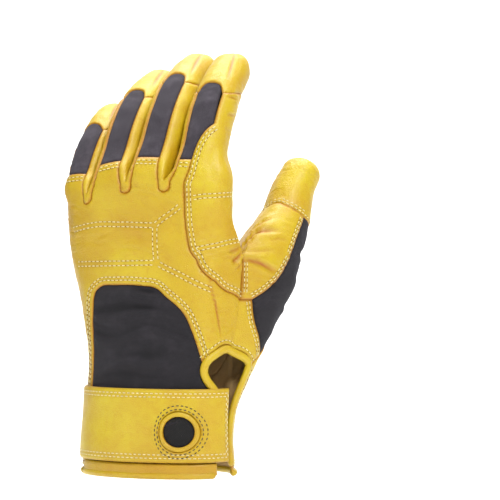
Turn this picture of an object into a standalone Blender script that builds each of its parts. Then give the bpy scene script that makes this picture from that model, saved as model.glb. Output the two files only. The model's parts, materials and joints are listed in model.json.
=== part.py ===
"""Left-hand leather climbing glove in the shape of a worn hand.

+Z runs from the cuff to the fingertips, the back of the hand faces -Y and the thumb is at +X.
The origin is the middle of the cuff opening, level with the lowest point of its hem.

One skin is made of six charts: the hand, the thumb and the four fingers. Each leather or
fabric piece is a region of that skin between seams, thickened inwards from the skin.
Chart places are pairs (turn, rise). On the hand, turn 1 to 5 is the back from the little finger to
the index finger, 5 to 8 the thumb side, 8 to 12 the palm and 0 to 1 the little finger's side;
rise 0 is the hem, 1 the thumb web and 2 the finger crotches. On a finger, turn 0 to 1 is its back,
1 to 2 the side towards the index finger, 2 to 3 its palm face, 3 to 4 the side towards the little
finger, and rise runs from 2 at the crotch to 3 at the tip. On the thumb, rise runs from 1 to 2.
"""

import math

import bpy
import numpy as np
from mathutils import Vector
from mathutils.geometry import delaunay_2d_cdt

MM = 0.001

# Hand
WEB_HEIGHT = 123.0 * MM
CROTCH_HEIGHT = 166.0 * MM
HAND_HALF_WIDTH = 50.0 * MM
BACK_DEPTH = 16.0 * MM
PALM_DEPTH = 18.0 * MM
WEB_BLEND_HEIGHT = 30.0 * MM

# Thumb
THUMB_LENGTH = 66.0 * MM
THUMB_HALF_WIDTH = 15.8 * MM
THUMB_BASE = (57.0 * MM, 40.0 * MM)
WEB_BACK_CORNER = (50.0 * MM, 6.0 * MM)
WEB_PALM_CORNER = (36.0 * MM, 25.0 * MM)
THUMB_TURN = 55.0
THUMB_DOME_SHARE = 0.17

# Leather and fabric
LEATHER = 1.3 * MM
FABRIC = 1.1 * MM
PATCH_RISE = 0.5 * MM
SEAM_GAP = 0.40 * MM
LAYER_GAP = 0.45 * MM
STRAP_THICKNESS = 1.9 * MM
HEM_RADIUS = 2.0 * MM
BINDING_RADIUS = 2.3 * MM

# Strap hole
EYELET_CLEAR_RADIUS = 8.5 * MM
EYELET_WIDTH = 2.6 * MM
EYELET_RISE = 0.7 * MM
EYELET_PLACE = (4.34, 0.215)
MESH_THICKNESS = 0.6 * MM

# Mesh fineness
SPINE_COUNT = 121
ROUND_SIDES = 24
TUBE_STEP = 5.5 * MM
CREASE_MARGIN = 0.55
EDGE_STEP = 6.0 * MM
GRID_STEP = 7.4 * MM
STRAP_STEPS = (5.0 * MM, 6.0 * MM)
EYELET_STEPS = (3.2 * MM, 6.0 * MM)
TUBE_SIDES = 4
# Shares of the grid's step: its rows' distance, their distance from the outline's ends, and the
# least distance of its points from the outline.
ROW_SPACING = 0.87
ROW_MARGIN = 0.5
EDGE_MARGIN = 0.50

# Columns: share of CROTCH_HEIGHT, middle and half width as shares of HAND_HALF_WIDTH,
# back and palm depth as shares of BACK_DEPTH and PALM_DEPTH, squareness.
HAND_SECTIONS = np.array(
    [
        (0.00, 0.030, 0.900, 1.75, 1.62, 2.20),
        (0.12, 0.030, 0.880, 1.68, 1.58, 2.20),
        (0.28, 0.040, 0.850, 1.58, 1.50, 2.20),
        (0.42, 0.040, 0.850, 1.45, 1.42, 2.25),
        (0.58, 0.000, 0.900, 1.28, 1.36, 2.35),
        (0.74, -0.060, 0.960, 1.12, 1.28, 2.45),
        (0.88, -0.090, 0.990, 1.02, 1.14, 2.55),
        (1.00, -0.090, 1.000, 1.00, 1.00, 2.60),
    ]
)
# Columns: share of the half width at turns 1 to 5, drop of the crotch there.
CROTCHES = np.array(
    [
        (-0.96, 12.0 * MM),
        (-0.66, 7.5 * MM),
        (-0.15, 0.5 * MM),
        (0.30, 0.0 * MM),
        (0.88, 1.0 * MM),
    ]
)
# Columns: rise, share of the thumb's root that stands out from the hand there.
THUMB_ROOT = np.array(
    [
        (0.00, 0.0),
        (0.20, 0.0),
        (0.33, 0.10),
        (0.45, 0.27),
        (0.60, 0.50),
        (0.75, 0.74),
        (0.88, 0.92),
        (1.00, 1.0),
    ]
)
# Columns: share of the thumb's length, offsets of its middle line along X, Y and Z as shares of it.
THUMB_SPINE = np.array(
    [
        (0.00, 0.0, 0.0, 0.0),
        (0.30, 0.035, 0.165, 0.29),
        (0.65, 0.075, 0.32, 0.61),
        (1.00, 0.165, 0.45, 0.87),
    ]
)
# Columns: share of the thumb's length, width share, depth share.
THUMB_TAPER = np.array(
    [(0.0, 1.0, 1.0), (0.35, 0.90, 0.90), (0.70, 0.76, 0.78), (1.0, 0.68, 0.70)]
)
# Columns: half width, half depth, length, sideways lean in degrees, curl at the root and at the
# tip in degrees, sideways shift of the root.
FINGERS = {
    "little": (10.3 * MM, 10.8 * MM, 71.0 * MM, 7.0, 14.0, 62.0, -2.6 * MM),
    "ring": (11.5 * MM, 11.8 * MM, 95.5 * MM, 5.2, 12.0, 72.0, 0.0 * MM),
    "middle": (11.9 * MM, 12.2 * MM, 98.5 * MM, 5.8, 8.0, 69.0, 0.4 * MM),
    "index": (12.5 * MM, 12.4 * MM, 86.5 * MM, 6.0, 4.0, 54.0, 1.2 * MM),
}
NAMES = tuple(FINGERS)
FINGER_SQUARENESS = 2.35
FINGER_CORNER_SHARE = 0.80

# Finger seams. Columns: turn of the back fabric's edges, rise of its lower edge, rise of its top
# edge at the sides and in the middle.
FINGER_FABRIC = {
    "little": (-0.22, 0.80, 2.17, 2.56, 2.62),
    "ring": (0.04, 0.80, 2.13, 2.56, 2.62),
    "middle": (0.04, 0.80, 2.12, 2.58, 2.65),
    "index": (0.04, 0.86, 2.13, 2.56, 2.63),
}
LOOP_TURN = 0.13
LOOP_RISE = 0.13
PALM_LOOP_RISE = 0.14
FOOT_RISE = 2.08
PAD_TURNS = (2.02, 2.98)
PAD_RISES = (2.28, 2.74, 2.80)
# The index patch's edge. Columns: turn, rise; the first list is on the index finger.
INDEX_PATCH_FINGER_EDGE = [(0.86, 2.36), (0.68, 2.31), (0.52, 2.23), (0.45, 2.13)]
INDEX_PATCH_BAND_EDGE = [(0.45, 2.13), (0.40, 2.0)]
INDEX_PATCH_HAND_EDGE = [
    (4.40, 2.0),
    (4.46, 1.68),
    (4.49, 1.33),
    (4.57, 1.08),
    (4.72, 0.97),
    (4.92, 0.91),
    (5.28, 0.855),
    (5.72, 0.83),
    (6.0, 0.81),
]
INDEX_PALM_TURN = 7.9
# The saddle patch's lower edge against the back, then against the thumb's fabric gusset.
SADDLE_BACK_EDGE = [(6.0, 0.81), (6.12, 0.81)]
SADDLE_GUSSET_EDGE = [(6.12, 0.81), (6.24, 0.85), (6.36, 0.92), (6.44, 1.0)]
SADDLE_PALM_TURN = 8.1
# The gusset's other edges, against the thenar panel, the palm's leather and the back.
GUSSET_THENAR_EDGE = [(7.42, 1.0), (7.46, 0.86), (7.30, 0.72)]
GUSSET_PALM_EDGE = [(7.30, 0.72), (6.98, 0.62), (6.62, 0.55)]
GUSSET_BACK_EDGE = [(6.62, 0.55), (6.36, 0.64), (6.20, 0.72), (6.12, 0.81)]
# The thumb cap's edge against the gusset, the thenar panel and the saddle patch.
CAP_GUSSET_EDGE = [(6.44, 1.36), (6.9, 1.34), (7.42, 1.30)]
CAP_THENAR_EDGE = [(7.42, 1.30), (8.1, 1.26)]
CAP_SADDLE_EDGE = [(8.1, 1.26), (8.5, 1.31), (9.0, 1.37), (9.6, 1.40), (10.44, 1.36)]
# The thenar panel's edge on the palm, from the gusset round to the palm patch and to the web.
THENAR_SIDE_EDGE = [(7.30, 0.72), (7.62, 0.64), (8.0, 0.55)]
THENAR_PALM_EDGE = [
    (8.0, 0.55),
    (8.50, 0.45),
    (9.35, 0.40),
    (10.0, 0.46),
    (10.42, 0.58),
    (10.50, 0.72),
    (10.30, 0.80),
]
THENAR_PATCH_EDGE = [(10.30, 0.80), (9.70, 0.82), (9.10, 0.90), (8.55, 0.97), (8.0, 1.0)]
PATCH_PALM_EDGE = [(10.30, 0.80), (10.85, 0.78), (11.05, 0.90), (11.05, 1.0)]
PATCH_TOP_RISE = 1.72
HEM_RISE = 0.038
# The wrist fabric's edge from the slit round to the left side seam.
WRIST_TOP_EDGE = [
    (4.80, 0.53),
    (4.70, 0.60),
    (4.58, 0.67),
    (4.40, 0.75),
    (4.05, 0.82),
    (3.74, 0.865),
    (3.30, 0.875),
    (2.60, 0.877),
    (2.20, 0.87),
    (1.93, 0.83),
    (1.74, 0.76),
    (1.55, 0.66),
    (1.47, 0.55),
    (1.38, 0.43),
    (1.32, 0.25),
    (1.30, HEM_RISE),
]
LEFT_SEAM_TURN = 0.45
# The slit's edges in the leather and fabric, which its binding follows.
SLIT_LEFT_EDGE = [(5.14, HEM_RISE), (5.14, 0.20), (5.08, 0.37), (4.86, 0.43), (4.76, 0.49), (4.80, 0.53)]
SLIT_TOP_EDGE = [(4.80, 0.53), (5.05, 0.58), (5.48, 0.605), (6.10, 0.575), (6.46, 0.51)]
SLIT_RIGHT_EDGE = [(6.46, 0.51), (6.50, 0.43), (6.48, 0.27), (6.56, 0.15), (6.66, HEM_RISE)]
BINDING_START_RISE = 0.435
BINDING_END_RISE = 0.058
STRAP_TURNS = (0.55, 5.80)
STRAP_RISES = (0.075, 0.408)
STRAP_CORNER = (0.22, 0.035)

# Blends of the charts, as turns, degrees and shares of a finger's or the thumb's length
THUMB_SIDE_SHARE = -0.3
THUMB_ANGLES = (135.0, -135.0, -225.0)
THUMB_GROWN_SHARE = 0.42
WEB_PULL_TURNS = (4.7, 9.8)
CURL_EARLY_SHARE = 0.35
CURL_START_SHARE = 0.12
CURL_START = 0.15
FOOT_SHARE = 0.26


def smooth(x):
    """0 below 0, 1 above 1, and a smooth step between."""
    x = np.clip(x, 0.0, 1.0)
    return x * x * (3.0 - 2.0 * x)


def follow(table, key):
    """The table's row at the key, by a cubic through its rows; the first column is the key."""
    keys = table[:, 0]
    rows = table[:, 1:]
    slopes = np.gradient(rows, keys, axis=0)
    key = np.clip(np.asarray(key, float), keys[0], keys[-1])
    at = np.clip(np.searchsorted(keys, key, side="right") - 1, 0, len(keys) - 2)
    span = keys[at + 1] - keys[at]
    u = ((key - keys[at]) / span)[..., None]
    span = span[..., None]
    start = (2 * u**3 - 3 * u**2 + 1) * rows[at] + (u**3 - 2 * u**2 + u) * span * slopes[at]
    end = (3 * u**2 - 2 * u**3) * rows[at + 1] + (u**3 - u**2) * span * slopes[at + 1]
    return start + end


def rounded(share, power):
    """The other coordinate of a rounded square, at a share of its half width."""
    return (1.0 - np.abs(np.clip(share, -1.0, 1.0)) ** power) ** (1.0 / power)


def stack(*parts):
    return np.stack(np.broadcast_arrays(*parts), -1)


def hand_section(turn, height):
    """X and Y of the hand's own section, without the thumb."""
    row = follow(HAND_SECTIONS, height / CROTCH_HEIGHT)
    middle, half, back, palm, power = np.moveaxis(row, -1, 0)
    stops = (1, 2, 3, 4, 5)
    back_share = np.interp(turn, stops, CROTCHES[:, 0])
    palm_share = np.interp(13 - turn, stops, CROTCHES[:, 0])
    back_edge = rounded(CROTCHES[-1, 0], power)
    little_edge = rounded(CROTCHES[0, 0], power)
    thumb_side = np.interp(turn, (5, 6, 8), (-1, THUMB_SIDE_SHARE, 1)) * back_edge
    little_side = (1 - 2 * turn) * little_edge
    cases = [turn < 1, turn <= 5, turn < 8]
    across = np.select(
        cases, [-rounded(little_side, power), back_share, rounded(thumb_side, power)], palm_share
    )
    deep = np.select(
        cases, [little_side, -rounded(back_share, power), thumb_side], rounded(palm_share, power)
    )
    depth = np.where(deep < 0, back * BACK_DEPTH, palm * PALM_DEPTH)
    return stack((middle + half * across) * HAND_HALF_WIDTH, depth * deep)


def thumb_frame(share):
    """The thumb's middle line at a share of its length, and the three axes of its section there."""
    step = 0.01
    here = follow(THUMB_SPINE, share) * THUMB_LENGTH
    ahead = follow(THUMB_SPINE, np.clip(share + step, 0, 1))
    behind = follow(THUMB_SPINE, np.clip(share - step, 0, 1))
    along = ahead - behind
    along = along / np.linalg.norm(along, axis=-1, keepdims=True)
    angle = math.radians(THUMB_TURN)
    across = np.broadcast_to(np.array([math.cos(angle), math.sin(angle), 0.0]), along.shape)
    across = across - (across * along).sum(-1, keepdims=True) * along
    across = across / np.linalg.norm(across, axis=-1, keepdims=True)
    return here + np.array([*THUMB_BASE, WEB_HEIGHT]), across, np.cross(across, along), along


def dome(share, start):
    """Share along the middle line and radius share for a rise that ends in a rounded tip."""
    angle = np.clip((share - start) / (1.0 - start), 0.0, 1.0) * math.pi / 2
    along = np.where(share < start, share, start + (1.0 - start) * np.sin(angle) ** 0.95)
    return along, np.cos(angle) ** 0.85


def thumb_section(turn, share, radius):
    angle = np.radians(np.interp(turn, (6, 8, 10), THUMB_ANGLES))
    taper = follow(THUMB_TAPER, share)
    power = 0.93
    across = np.sign(np.cos(angle)) * np.abs(np.cos(angle)) ** power
    back = np.sign(np.sin(angle)) * np.abs(np.sin(angle)) ** power
    size = THUMB_HALF_WIDTH * radius
    return across * taper[..., 0] * size, back * taper[..., 1] * size


def thumb_root(turn):
    """X and Y of the thumb's outer side at the web, its ends drawn to the web's two corners."""
    angle = math.radians(THUMB_TURN)
    across = np.array([math.cos(angle), math.sin(angle)])
    back = np.array([math.sin(angle), -math.cos(angle)])

    def place(at):
        x, y = thumb_section(at, np.zeros_like(at), 1.0)
        return np.array(THUMB_BASE) + x[..., None] * across + y[..., None] * back

    reach = 0.42
    share = ((turn - 6) / 2)[..., None]
    first = np.clip(1 - share / reach, 0, 1) ** 2
    last = np.clip(1 - (1 - share) / reach, 0, 1) ** 2
    start = np.array(WEB_BACK_CORNER) - place(np.array(6.0))
    end = np.array(WEB_PALM_CORNER) - place(np.array(8.0))
    return place(turn) + first * start + last * end


def web_line(turn):
    share = ((turn - 6) / 2)[..., None]
    return np.array(WEB_BACK_CORNER) * (1 - share) + np.array(WEB_PALM_CORNER) * share


def web_pull(turn, height):
    """What the web adds to the hand's section: its side is drawn to the line of the web."""
    level = np.full_like(turn, WEB_HEIGHT)
    first = np.array(WEB_BACK_CORNER) - hand_section(np.array(6.0), np.array(WEB_HEIGHT))
    last = np.array(WEB_PALM_CORNER) - hand_section(np.array(8.0), np.array(WEB_HEIGHT))
    before = smooth((turn - WEB_PULL_TURNS[0]) / (6 - WEB_PULL_TURNS[0]))[..., None] * first
    after = smooth((WEB_PULL_TURNS[1] - turn) / (WEB_PULL_TURNS[1] - 8))[..., None] * last
    inside = web_line(turn) - hand_section(turn, level)
    return np.where((turn < 6)[..., None], before, np.where((turn > 8)[..., None], after, inside))


def hand(turn, rise):
    turn, rise = np.broadcast_arrays(np.asarray(turn, float) % 12.0, np.asarray(rise, float))
    low = rise <= 1.0
    mirrored = np.where(turn > 8, 13 - turn, turn)
    top = CROTCH_HEIGHT - np.interp(mirrored, (1, 2, 3, 4, 5), CROTCHES[:, 1])
    height = np.where(low, WEB_HEIGHT * rise, WEB_HEIGHT + (top - WEB_HEIGHT) * (rise - 1.0))
    flat = hand_section(turn, height)
    below = follow(THUMB_ROOT, np.clip(rise, 0, 1))[..., 0]
    above = 1 - smooth((height - WEB_HEIGHT) / WEB_BLEND_HEIGHT)
    share = np.where(low, below, above)[..., None]
    level = np.full_like(turn, WEB_HEIGHT)
    root = thumb_root(np.clip(turn, 6, 8)) - hand_section(turn, level)
    on_root = ((turn > 6) & (turn < 8) & low)[..., None]
    flat = flat + share * np.where(on_root, root, web_pull(turn, height))
    return np.concatenate([flat, height[..., None]], -1)


def thumb(turn, rise):
    turn, rise = np.broadcast_arrays(np.asarray(turn, float), np.asarray(rise, float))
    turn = (turn - 6.0) % 4.0 + 6.0
    share, radius = dome(rise - 1.0, 1.0 - THUMB_DOME_SHARE)
    middle, across, back, along = thumb_frame(share)
    x, y = thumb_section(turn, share, radius)
    first = thumb_frame(np.zeros_like(share))
    root = np.where(
        (turn <= 8)[..., None], thumb_root(np.clip(turn, 6, 8)), web_line(16 - turn)
    )
    level = np.full(turn.shape + (1,), WEB_HEIGHT)
    root = np.concatenate([root, level], -1) - first[0]
    base = [(root * axis).sum(-1) for axis in first[1:]]
    grown = smooth(share / THUMB_GROWN_SHARE)
    x = base[0] + (x - base[0]) * grown
    y = base[1] + (y - base[1]) * grown
    z = base[2] * (1 - grown)
    return middle + x[..., None] * across + y[..., None] * back + z[..., None] * along


def finger_spine(number):
    """Shares, middle points and the three section axes of one finger, along its length."""
    _, _, length, lean, curl_root, curl_tip, shift = FINGERS[NAMES[number]]
    turns = np.array([number + 1.0, number + 2.0, 12.0 - number, 11.0 - number])
    base = hand(turns, 2.0).mean(0) + np.array([shift, 0.0, 0.0])
    count = SPINE_COUNT
    share = np.linspace(0, 1, count)
    bent = CURL_EARLY_SHARE * share + (1 - CURL_EARLY_SHARE) * smooth(share)
    curl = np.radians(curl_root + (curl_tip - curl_root) * bent)
    curl = curl * smooth(share / CURL_START_SHARE + CURL_START)
    lean = math.radians(lean)
    along = stack(math.sin(lean) * np.cos(curl), np.sin(curl), math.cos(lean) * np.cos(curl))
    across = np.broadcast_to(np.array([math.cos(lean), 0, -math.sin(lean)]), along.shape)
    back = np.cross(across, along)
    steps = np.cumsum((along[1:] + along[:-1]) / 2, 0) * length / (count - 1)
    return share, base + np.vstack([np.zeros(3), steps]), across, back, along


SPINES = [finger_spine(number) for number in range(len(NAMES))]


def finger_root(number, side, part):
    """The skin's line at the finger's root: the hand's edge, or a line through the crotch."""
    two = np.full_like(part, 2.0)
    back_end = hand(np.full_like(part, number + 2.0), two)
    palm_end = hand(np.full_like(part, 11.0 - number), two)
    back_start = hand(np.full_like(part, number + 1.0), two)
    palm_start = hand(np.full_like(part, 12.0 - number), two)
    edge = hand(np.where(side == 0, number + 1 + part, 11 - number + part), two)
    right = back_end + (palm_end - back_end) * part[..., None]
    left = palm_start + (back_start - palm_start) * part[..., None]
    if number == len(NAMES) - 1:
        right = hand(5 + 3 * part, two)
    if number == 0:
        left = hand(part, two)
    return np.where((side == 1)[..., None], right, np.where((side == 3)[..., None], left, edge))


def finger(number):
    """The chart of one finger."""
    half_width, half_depth, length = FINGERS[NAMES[number]][:3]
    shares, points, across, back, along = SPINES[number]
    start = 1.0 - 0.95 * half_width / length
    power = FINGER_SQUARENESS
    corner = FINGER_CORNER_SHARE
    corner_depth = rounded(corner, power)

    def sample(share, rows):
        return stack(*(np.interp(share, shares, rows[:, axis]) for axis in range(3)))

    def chart(turn, rise):
        turn, rise = np.broadcast_arrays(np.asarray(turn, float) % 4.0, np.asarray(rise, float))
        share, radius = dome(rise - 2.0, start)
        side = np.floor(turn)
        part = turn - side
        cases = [side == 0, side == 1, side == 2]
        run = (2 * part - 1) * corner
        fall = (1 - 2 * part) * corner_depth
        x = np.select(cases, [run, rounded(fall, power), -run], -rounded(fall, power))
        y = np.select(cases, [rounded(run, power), fall, -rounded(run, power)], -fall)
        taper = (1 - 0.10 * smooth((share - 0.45) / 0.5)) * radius
        x = x * half_width * taper
        y = y * half_depth * taper * (1 - 0.10 * smooth((share - 0.5) / 0.5))
        root = finger_root(number, side, part) - points[0]
        base = [(root * axis[0]).sum(-1) for axis in (across, back, along)]
        quick = np.sin(np.clip(share / 0.10, 0, 1) * math.pi / 2)
        slow = smooth(share / FOOT_SHARE)
        outer = ((side == 1) & (number == 3)) | ((side == 3) & (number == 0))
        x = base[0] + (x - base[0]) * np.where(outer, slow, quick)
        y = base[1] + (y - base[1]) * slow
        z = base[2] * (1 - slow)
        return (
            sample(share, points)
            + x[..., None] * sample(share, across)
            + y[..., None] * sample(share, back)
            + z[..., None] * sample(share, along)
        )

    return chart


# Just above the web, where the hand's chart leaves the thumb out.
WEB = 1.0 + 1e-9

# Where the thumb's side meets the palm, the hand's skin has a crease.
CREASE_PLACE = (8.0, 1.0)

# Rough lengths along a chart, so that its triangles come out even. Rows: place, length.
HAND_TURNS = ((-12, 0, 1, 5, 8, 12, 13, 17), (-262, 0, 14, 102, 174, 262, 276, 364))
HAND_RISES = ((0, 1, 2), (0, 123, 166))
CHARTS = {
    "hand": (hand, HAND_TURNS, HAND_RISES, None),
    "thumb": (thumb, ((5, 12), (0, 168)), ((1, 2), (0, 72)), 2.0),
}
for number, name in enumerate(NAMES):
    CHARTS[name] = (finger(number), ((-2, 6), (0, 152)), ((2, 3), (0, 92)), 3.0)


def curved(name, edge):
    """The edge as a smooth line of a chart, in stretches no longer than the step."""
    rows = np.array(edge, float)
    chart = CHARTS[name][0]
    reach = np.concatenate([[0], np.cumsum(np.linalg.norm(np.diff(chart(*rows.T), axis=0), axis=1))])
    count = max(1, math.ceil(reach[-1] / EDGE_STEP - 1e-6))
    if len(rows) == 2:
        return edge
    found = follow(np.column_stack([reach, rows]), np.linspace(0, reach[-1], count + 1))
    found[0], found[-1] = rows[0], rows[-1]
    return [tuple(place) for place in found.tolist()]


def outward(name, places):
    """Unit normals of the skin at the given places of a chart."""
    chart, _, _, tip = CHARTS[name]
    step = 1e-4
    turn, rise = places.T
    if tip is not None:
        rise = np.where(rise > tip - 0.012, tip - 0.012, rise)
    lowest = {"hand": 0.0, "thumb": 1.0}.get(name, 2.0)
    highest = 2.0 if name == "hand" else tip
    below = np.clip(rise - step, lowest, highest)
    above = np.clip(rise + step, lowest, highest)
    if name == "hand":
        below = np.where(np.abs(rise - 1.0) < step, rise, below)
        above = np.where(np.abs(rise - 1.0) < step, np.where(rise > 1.0, above, rise), above)
        below = np.where((rise <= 1.0) & (above - below < step / 2), rise - step, below)
    along = chart(turn, above) - chart(turn, below)
    across = chart(turn + step, rise) - chart(turn - step, rise)
    normal = np.cross(across, along)
    return normal / np.maximum(np.linalg.norm(normal, axis=-1, keepdims=True), 1e-18)


def normals_at(name, places):
    """Outward normals, and along the thumb's web the mean of those on its two sides."""
    found = outward(name, places)
    turn, rise = places.T
    other = {"hand": "thumb", "thumb": "hand"}.get(name)
    if other is None:
        return found
    low, high = (6.0, 8.0) if name == "hand" else (8.0, 10.0)
    on_web = (np.abs(rise - 1.0) < 1e-6) & (turn > low + 1e-6) & (turn < high - 1e-6)
    if name == "hand":
        on_web &= rise > 1.0
    facing = stack(16.0 - turn[on_web], np.full(on_web.sum(), 1.0 if name == "hand" else WEB))
    found[on_web] += outward(other, facing)
    return found / np.linalg.norm(found, axis=-1, keepdims=True)


def to_flat(name, places):
    _, turns, rises, _ = CHARTS[name]
    return stack(np.interp(places[:, 0], *turns), np.interp(places[:, 1], *rises))


def from_flat(name, flat):
    _, turns, rises, _ = CHARTS[name]
    return stack(
        np.interp(flat[:, 0], turns[1], turns[0]), np.interp(flat[:, 1], rises[1], rises[0])
    )


def divided(name, loop, step):
    """The closed outline with points added, so that no stretch of it is longer than the step."""
    chart = CHARTS[name][0]
    found = []
    for start, end in zip(loop, loop[1:] + loop[:1]):
        start = np.array(start, float)
        end = np.array(end, float)
        trial = start + (end - start) * np.linspace(0, 1, 17)[:, None]
        length = np.linalg.norm(np.diff(chart(*trial.T), axis=0), axis=1).sum()
        count = max(1, math.ceil(length / step - 1e-6))
        for at in range(count):
            found.append(start + (end - start) * at / count)
    return np.array(found)


def inside(points, loops):
    """True for each point that an odd number of loops surrounds."""
    result = np.zeros(len(points), bool)
    for loop in loops:
        start = loop
        end = np.roll(loop, -1, axis=0)
        for a, b in zip(start, end):
            if a[1] == b[1]:
                continue
            crosses = (a[1] > points[:, 1]) != (b[1] > points[:, 1])
            at = a[0] + (points[:, 1] - a[1]) / (b[1] - a[1]) * (b[0] - a[0])
            result ^= crosses & (points[:, 0] < at)
    return result


def clear_of(points, loops, distance):
    """True for each point that is at least the distance from every loop."""
    result = np.ones(len(points), bool)
    for loop in loops:
        for a, b in zip(loop, np.roll(loop, -1, axis=0)):
            span = b - a
            length = max(float(span @ span), 1e-12)
            share = np.clip(((points - a) @ span) / length, 0, 1)
            gap = np.linalg.norm(points - a - share[:, None] * span, axis=1)
            result &= gap > distance
    return result


def signed_area(loop):
    x, y = loop.T
    return float((x * np.roll(y, -1) - np.roll(x, -1) * y).sum()) / 2


def enclosed(triangles, edges):
    """The triangles to the left of the directed edges, as far as no edge is crossed."""
    owner = {}
    for number, (a, b, c) in enumerate(triangles):
        owner[a, b] = owner[b, c] = owner[c, a] = number
    walls = {edge for edge in edges} | {edge[::-1] for edge in edges}
    waiting = [owner[edge] for edge in edges]
    found = set(waiting)
    while waiting:
        a, b, c = triangles[waiting.pop()]
        for edge in ((a, b), (b, c), (c, a)):
            other = owner.get(edge[::-1])
            if edge not in walls and other is not None and other not in found:
                found.add(other)
                waiting.append(other)
    return np.array([triangles[number] for number in sorted(found)])


def tiled(name, outline, holes, edge_step, grid_step):
    """Places and triangles that fill an outline of a chart, less its holes."""
    loops = [divided(name, list(loop), edge_step) for loop in [outline, *holes]]
    flats = [to_flat(name, loop) for loop in loops]
    for number, flat in enumerate(flats):
        if (signed_area(flat) > 0) == (number > 0):
            loops[number] = loops[number][::-1]
            flats[number] = flat[::-1]
    low = flats[0].min(0)
    high = flats[0].max(0)
    spacing = grid_step / MM
    margin = ROW_MARGIN * spacing
    row_count = max(2, round((high[1] - low[1] - 2 * margin) / (ROW_SPACING * spacing)) + 1)
    rows = np.linspace(low[1] + margin, high[1] - margin, row_count)
    crease = to_flat(name, np.array([CREASE_PLACE]))[0, 0]
    lattice = []
    for number, y in enumerate(rows):
        first = low[0] + spacing * (0.25 + 0.5 * (number % 2))
        columns = list(np.arange(first, high[0], spacing))
        if name == "hand":
            columns = [x for x in columns if abs(x - crease) > CREASE_MARGIN * spacing] + [crease]
        lattice += [(x, y) for x in columns]
    lattice = np.array(lattice).reshape(-1, 2)
    lattice = lattice[inside(lattice, flats) & clear_of(lattice, flats, EDGE_MARGIN * spacing)]
    places = np.vstack([*loops, from_flat(name, lattice)])
    flat = np.vstack([*flats, lattice])
    edges = []
    first = 0
    for loop in loops:
        count = len(loop)
        edges += [(first + at, first + (at + 1) % count) for at in range(count)]
        first += count
    margin = np.array([spacing, spacing])
    frame = [low - margin, (high[0] + spacing, low[1] - spacing), high + margin]
    frame.append((low[0] - spacing, high[1] + spacing))
    found = delaunay_2d_cdt([Vector(point) for point in (*flat, *frame)], edges, [], 0, 1e-6)
    origin = np.array([source[0] for source in found[3]])
    return places, enclosed(origin[np.array(found[2])].tolist(), edges)


def welded(regions, edge_step, grid_step):
    """One mesh of the skin for all regions of a piece: points, normals and triangles."""
    points = []
    normals = []
    triangles = []
    first = 0
    for name, outline, *holes in regions:
        places, faces = tiled(name, outline, holes, edge_step, grid_step)
        points.append(CHARTS[name][0](*places.T))
        normals.append(normals_at(name, places))
        triangles.append(faces + first)
        first += len(places)
    points = np.vstack(points)
    normals = np.vstack(normals)
    triangles = np.vstack(triangles)
    grid = np.round(points / 2e-6 + 0.3137).astype(np.int64)
    _, kept, index = np.unique(grid, axis=0, return_index=True, return_inverse=True)
    index = index.reshape(-1)
    joined = np.zeros((len(kept), 3))
    np.add.at(joined, index, normals)
    joined /= np.linalg.norm(joined, axis=1, keepdims=True)
    points = points[kept]
    triangles = index[triangles]
    whole = (
        (triangles[:, 0] != triangles[:, 1])
        & (triangles[:, 1] != triangles[:, 2])
        & (triangles[:, 2] != triangles[:, 0])
    )
    triangles = triangles[whole]
    used, renumbered = np.unique(triangles, return_inverse=True)
    return points[used], joined[used], renumbered.reshape(-1, 3)


def rim(triangles):
    """The directed edges that only one triangle has."""
    edges = np.concatenate([triangles[:, [0, 1]], triangles[:, [1, 2]], triangles[:, [2, 0]]])
    known = {tuple(edge) for edge in edges.tolist()}
    return [edge for edge in sorted(known) if edge[::-1] not in known]


def drawn_in(points, normals, edges, amount):
    """The points with each rim moved inwards along the skin."""
    inward = np.zeros_like(points)
    last = {}
    for a, b in edges:
        span = points[b] - points[a]
        way = np.cross((normals[a] + normals[b]) / 2, span)
        way /= np.linalg.norm(way)
        for at in (a, b):
            if at in last:
                inward[at] = (last[at] + way) / max(1 + float(last[at] @ way), 0.5)
            else:
                last[at] = way
                inward[at] = way
    return points + inward * amount


def solid(name, points, faces, collection, material):
    mesh = bpy.data.meshes.new(name)
    mesh.from_pydata(points.tolist(), [], [list(map(int, face)) for face in faces])
    mesh.update()
    made = bpy.data.objects.new(name, mesh)
    collection.objects.link(made)
    mesh.materials.append(material)
    return made


def piece(name, regions, top, bottom, collection, material, steps=(EDGE_STEP, GRID_STEP)):
    """A closed solid over regions of the skin, from the bottom to the top distance off the skin."""
    points, normals, triangles = welded(regions, *steps)
    edges = rim(triangles)
    seam = points.tolist()
    points = drawn_in(points, normals, edges, SEAM_GAP / 2)
    count = len(points)
    both = np.vstack([points + normals * top, points + normals * bottom])
    walls = []
    for a, b in edges:
        # Neighbours split the wall between them along the same diagonal.
        if seam[a] < seam[b]:
            walls += [(a, a + count, b + count), (a, b + count, b)]
        else:
            walls += [(a, a + count, b), (b, a + count, b + count)]
    under = triangles[:, ::-1] + count
    return solid(name, both, np.vstack([triangles, under, np.array(walls)]), collection, material)


def tube(name, line, radius, lift, collection, material):
    """A filled cord along a line of the hand chart, given by its places."""
    line = np.array(line, float)
    reach = np.concatenate([[0], np.cumsum(np.linalg.norm(np.diff(hand(*line.T), axis=0), axis=1))])
    rows = np.column_stack([reach, line])
    count = max(4, int(reach[-1] / TUBE_STEP))
    places = follow(rows, np.linspace(0, reach[-1], count + 1))
    points = hand(*places.T) + outward("hand", places) * lift
    data = bpy.data.curves.new(name, "CURVE")
    data.dimensions = "3D"
    data.bevel_depth = radius
    data.bevel_resolution = TUBE_SIDES // 2
    data.use_fill_caps = True
    data.resolution_u = 1
    spline = data.splines.new("POLY")
    spline.points.add(len(points) - 1)
    for slot, point in zip(spline.points, points):
        slot.co = (*point, 1.0)
    made = bpy.data.objects.new(name, data)
    collection.objects.link(made)
    data.materials.append(material)
    return made


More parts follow.
